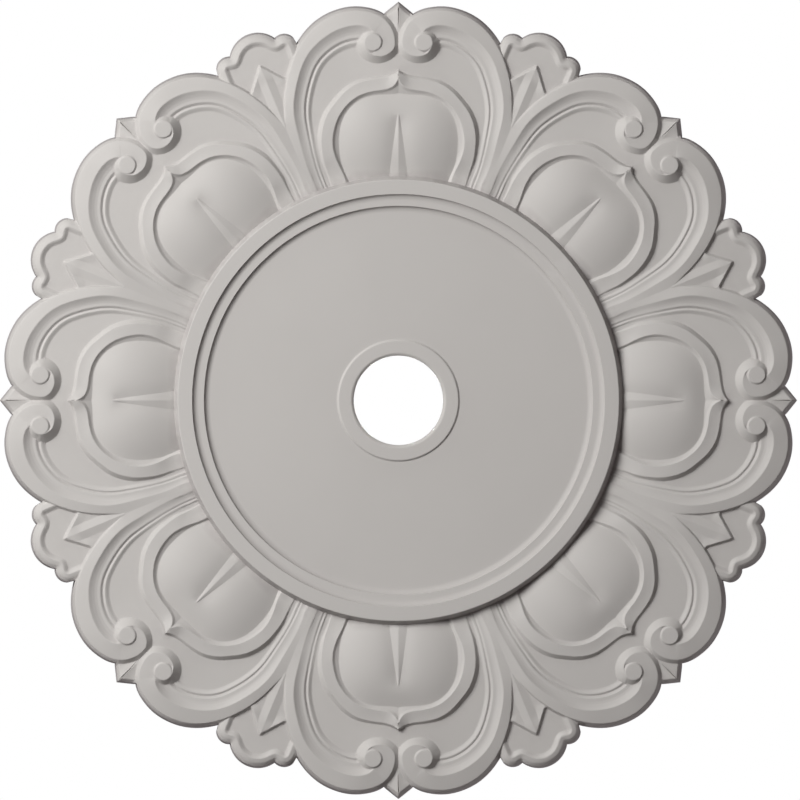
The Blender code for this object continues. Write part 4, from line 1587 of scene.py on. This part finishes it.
@dataclass
class CeilingRose:
    """The whole moulding, which stands for the frame's node."""

    wedge: Wedge = field(default_factory=Wedge)
    name: str = "moulded_rose"
    weld: float = 0.02
    sharpest: float = math.radians(48.0)
    shading_weight: int = 50

    def build(self) -> bpy.types.Object:
        """Mirror the wedge, turn it round and weld it.

        Returns:
            The rose, dressed and riding on the frame's body.
        """
        mesh = self.wedge.build()
        bmesh.ops.mirror(
            mesh, geom=mesh.verts[:] + mesh.edges[:] + mesh.faces[:],
            matrix=Matrix.Identity(4), merge_dist=self.weld, axis="X")
        bmesh.ops.spin(
            mesh, geom=mesh.verts[:] + mesh.edges[:] + mesh.faces[:], cent=(0.0, 0.0, 0.0),
            axis=(0.0, 0.0, 1.0), angle=2.0 * math.pi * (PETAL_COUNT - 1) / PETAL_COUNT,
            steps=PETAL_COUNT - 1, use_duplicate=True)
        bmesh.ops.remove_doubles(mesh, verts=mesh.verts[:], dist=self.weld)
        bmesh.ops.recalc_face_normals(mesh, faces=mesh.faces[:])
        bmesh.ops.scale(mesh, vec=(MM, MM, MM), verts=mesh.verts[:])
        for face in mesh.faces:
            face.smooth = True
        for edge in mesh.edges:
            edge.smooth = edge.calc_face_angle(0.0) < self.sharpest
        data = bpy.data.meshes.new(self.name)
        mesh.to_mesh(data)
        open_edges = sum(1 for edge in mesh.edges if len(edge.link_faces) != 2)
        mesh.free()
        rose = linked(self.name, data)
        for surface in Surface:
            data.materials.append(FINISHES[surface].material())
        shading = rose.modifiers.new("even_shading", "WEIGHTED_NORMAL")
        shading.keep_sharp = True
        shading.weight = self.shading_weight
        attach(rose, "root")
        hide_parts("ceiling_rose")
        log.info("%s: %d faces, %d open edges", self.name, len(data.polygons), open_edges)
        return rose


class Lamp(Enum):
    """Lamps of the studio, by what each is for."""

    KEY = "key"
    FILL = "fill"
    TOP = "top"
    NEAR_RIM = "near_rim"
    SIDE_RIM = "side_rim"
    FAR_RIM = "far_rim"


@dataclass(frozen=True)
class LampSetting:
    """Place, size and light of one lamp."""

    bearing: float
    rise: float
    distance: float
    size: float
    power: float
    spread: float
    colour: tuple[float, float, float]

    def place(self) -> Vector:
        """Where the lamp hangs; bearing is counter-clockwise as the photograph shows it."""
        bearing, rise = math.radians(self.bearing), math.radians(self.rise)
        return self.distance * Vector((
            math.cos(bearing) * math.cos(rise),
            -math.sin(bearing) * math.cos(rise),
            -math.sin(rise),
        ))


def rim_lamp(bearing: float) -> LampSetting:
    """Weak lamp just above the ceiling's plane, which reaches the side wall alone."""
    return LampSetting(bearing, -14.0, 3.2, 1.2, 1.6, 60.0, (1.0, 0.94, 0.95))


@dataclass
class Studio:
    """Pale floor, soft lamps, white surroundings and the camera below the rose."""

    lamps: dict[Lamp, LampSetting] = field(default_factory=lambda: {
        Lamp.KEY: LampSetting(148.0, 47.0, 3.2, 1.6, 108.0, 180.0, (1.0, 0.99, 0.975)),
        Lamp.FILL: LampSetting(-40.0, 50.0, 3.2, 2.0, 1.6, 180.0, (1.0, 0.86, 0.89)),
        Lamp.TOP: LampSetting(100.0, -90.0, 3.2, 0.3, 3.0, 30.0, (1.0, 0.99, 0.97)),
        Lamp.NEAR_RIM: rim_lamp(-32.0),
        Lamp.SIDE_RIM: rim_lamp(-115.0),
        Lamp.FAR_RIM: rim_lamp(52.0),
    })
    backdrop: Colour = (1.0, 1.0, 1.0, 1.0)
    surround: Colour = (1.0, 0.88, 0.89, 1.0)
    surround_strength: float = 0.07
    floor_level: float = -7.2
    floor_reach: float = 30.0
    floor_squares: int = 8
    floor_dark: Colour = (0.78, 0.775, 0.765, 1.0)
    floor_light: Colour = (0.82, 0.815, 0.805, 1.0)
    floor_glow: Colour = (0.80, 0.795, 0.785, 1.0)
    floor_glow_share: float = 0.75
    floor_roughness: float = 0.8
    floor_cloud_scale: float = 0.8
    lens: float = 300.0
    sensor: float = 36.0
    sight: float = 50.0
    view_width: float = 0.8212
    centre_shift: tuple[float, float] = (0.0016, -0.0004)
    face_level: float = -0.0218

    def build(self) -> None:
        """Set up the studio."""
        self.floor()
        self.world()
        for lamp, setting in self.lamps.items():
            self.lamp(lamp, setting)
        self.camera()

    def floor(self) -> bpy.types.Object:
        """Lay the floor far below the rose.

        Returns:
            The floor.
        """
        mesh = bmesh.new()
        bmesh.ops.create_grid(
            mesh, x_segments=self.floor_squares, y_segments=self.floor_squares,
            size=self.floor_reach)
        data = bpy.data.meshes.new("studio_floor")
        mesh.to_mesh(data)
        mesh.free()
        floor = linked("studio_floor", data)
        floor.location.z = self.floor_level
        data.materials.append(self.floor_material())
        return floor

    def floor_material(self) -> bpy.types.Material:
        """Pale matt floor paint, faintly clouded, which the camera sees evenly lit.

        Returns:
            The material, which adds no light to the rose.
        """
        material = bpy.data.materials.new("pale_floor")
        material.use_nodes = True
        nodes = Nodes(material.node_tree)
        shader = material.node_tree.nodes["Principled BSDF"]
        skin = nodes.group(CastSkin().build(), Cloud_Scale=self.floor_cloud_scale)
        colour = CastFinish.mixed(
            nodes, skin.outputs["Tone"], 1.0, self.floor_dark, self.floor_light)
        nodes.join(colour, shader.inputs["Base Color"])
        shader.inputs["Roughness"].default_value = self.floor_roughness
        glow = nodes.add("ShaderNodeEmission", Color=self.floor_glow, Strength=1.0)
        path = nodes.add("ShaderNodeLightPath")
        seen = nodes.reckon("MULTIPLY", path.outputs["Is Camera Ray"], self.floor_glow_share)
        mix = nodes.add("ShaderNodeMixShader", Fac=seen)
        nodes.join(shader.outputs[0], mix.inputs[1])
        nodes.join(glow.outputs[0], mix.inputs[2])
        nodes.join(mix.outputs[0], nodes.tree.nodes["Material Output"].inputs["Surface"])
        return material

    def world(self) -> None:
        """Light the scene evenly, and show white behind the rose."""
        world = bpy.data.worlds.new("studio")
        world.use_nodes = True
        world.node_tree.nodes.clear()
        nodes = Nodes(world.node_tree)
        seen = nodes.add("ShaderNodeBackground", Color=self.backdrop, Strength=1.0)
        light = nodes.add(
            "ShaderNodeBackground", Color=self.surround, Strength=self.surround_strength)
        path = nodes.add("ShaderNodeLightPath")
        mix = nodes.add("ShaderNodeMixShader", Fac=path.outputs["Is Camera Ray"])
        nodes.join(light.outputs[0], mix.inputs[1])
        nodes.join(seen.outputs[0], mix.inputs[2])
        nodes.add("ShaderNodeOutputWorld", Surface=mix.outputs[0])
        bpy.context.scene.world = world
        bpy.context.scene.view_settings.view_transform = "Standard"

    @staticmethod
    def lamp(lamp: Lamp, setting: LampSetting) -> bpy.types.Object:
        """Hang one lamp, turned to the rose's centre.

        Args:
            lamp: Which lamp it is.
            setting: Its place, size and light.

        Returns:
            The lamp.
        """
        data = bpy.data.lights.new(lamp.value, "AREA")
        data.shape = "DISK"
        data.size = setting.size
        data.energy = setting.power
        data.spread = math.radians(setting.spread)
        data.color = setting.colour
        made = linked(lamp.value, data)
        made.location = setting.place()
        made.rotation_mode = "QUATERNION"
        made.rotation_quaternion = (-setting.place()).to_track_quat("-Z", "Y")
        return made

    def camera(self) -> bpy.types.Object:
        """Set the camera straight below the rose, looking up.

        Returns:
            The camera.
        """
        data = bpy.data.cameras.new("camera")
        data.lens = self.lens
        data.sensor_width = self.sensor
        data.clip_end = self.sight
        camera = linked("camera", data)
        distance = self.view_width * self.lens / self.sensor
        camera.location = (*self.centre_shift, self.face_level - distance)
        camera.rotation_euler = (math.pi, 0.0, 0.0)
        bpy.context.scene.camera = camera
        return camera


def main() -> None:
    """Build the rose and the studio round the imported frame."""
    logging.basicConfig(level=logging.INFO, format="%(name)s: %(message)s")
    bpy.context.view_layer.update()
    CeilingRose().build()
    Studio().build()


if __name__ == "__main__":
    main()
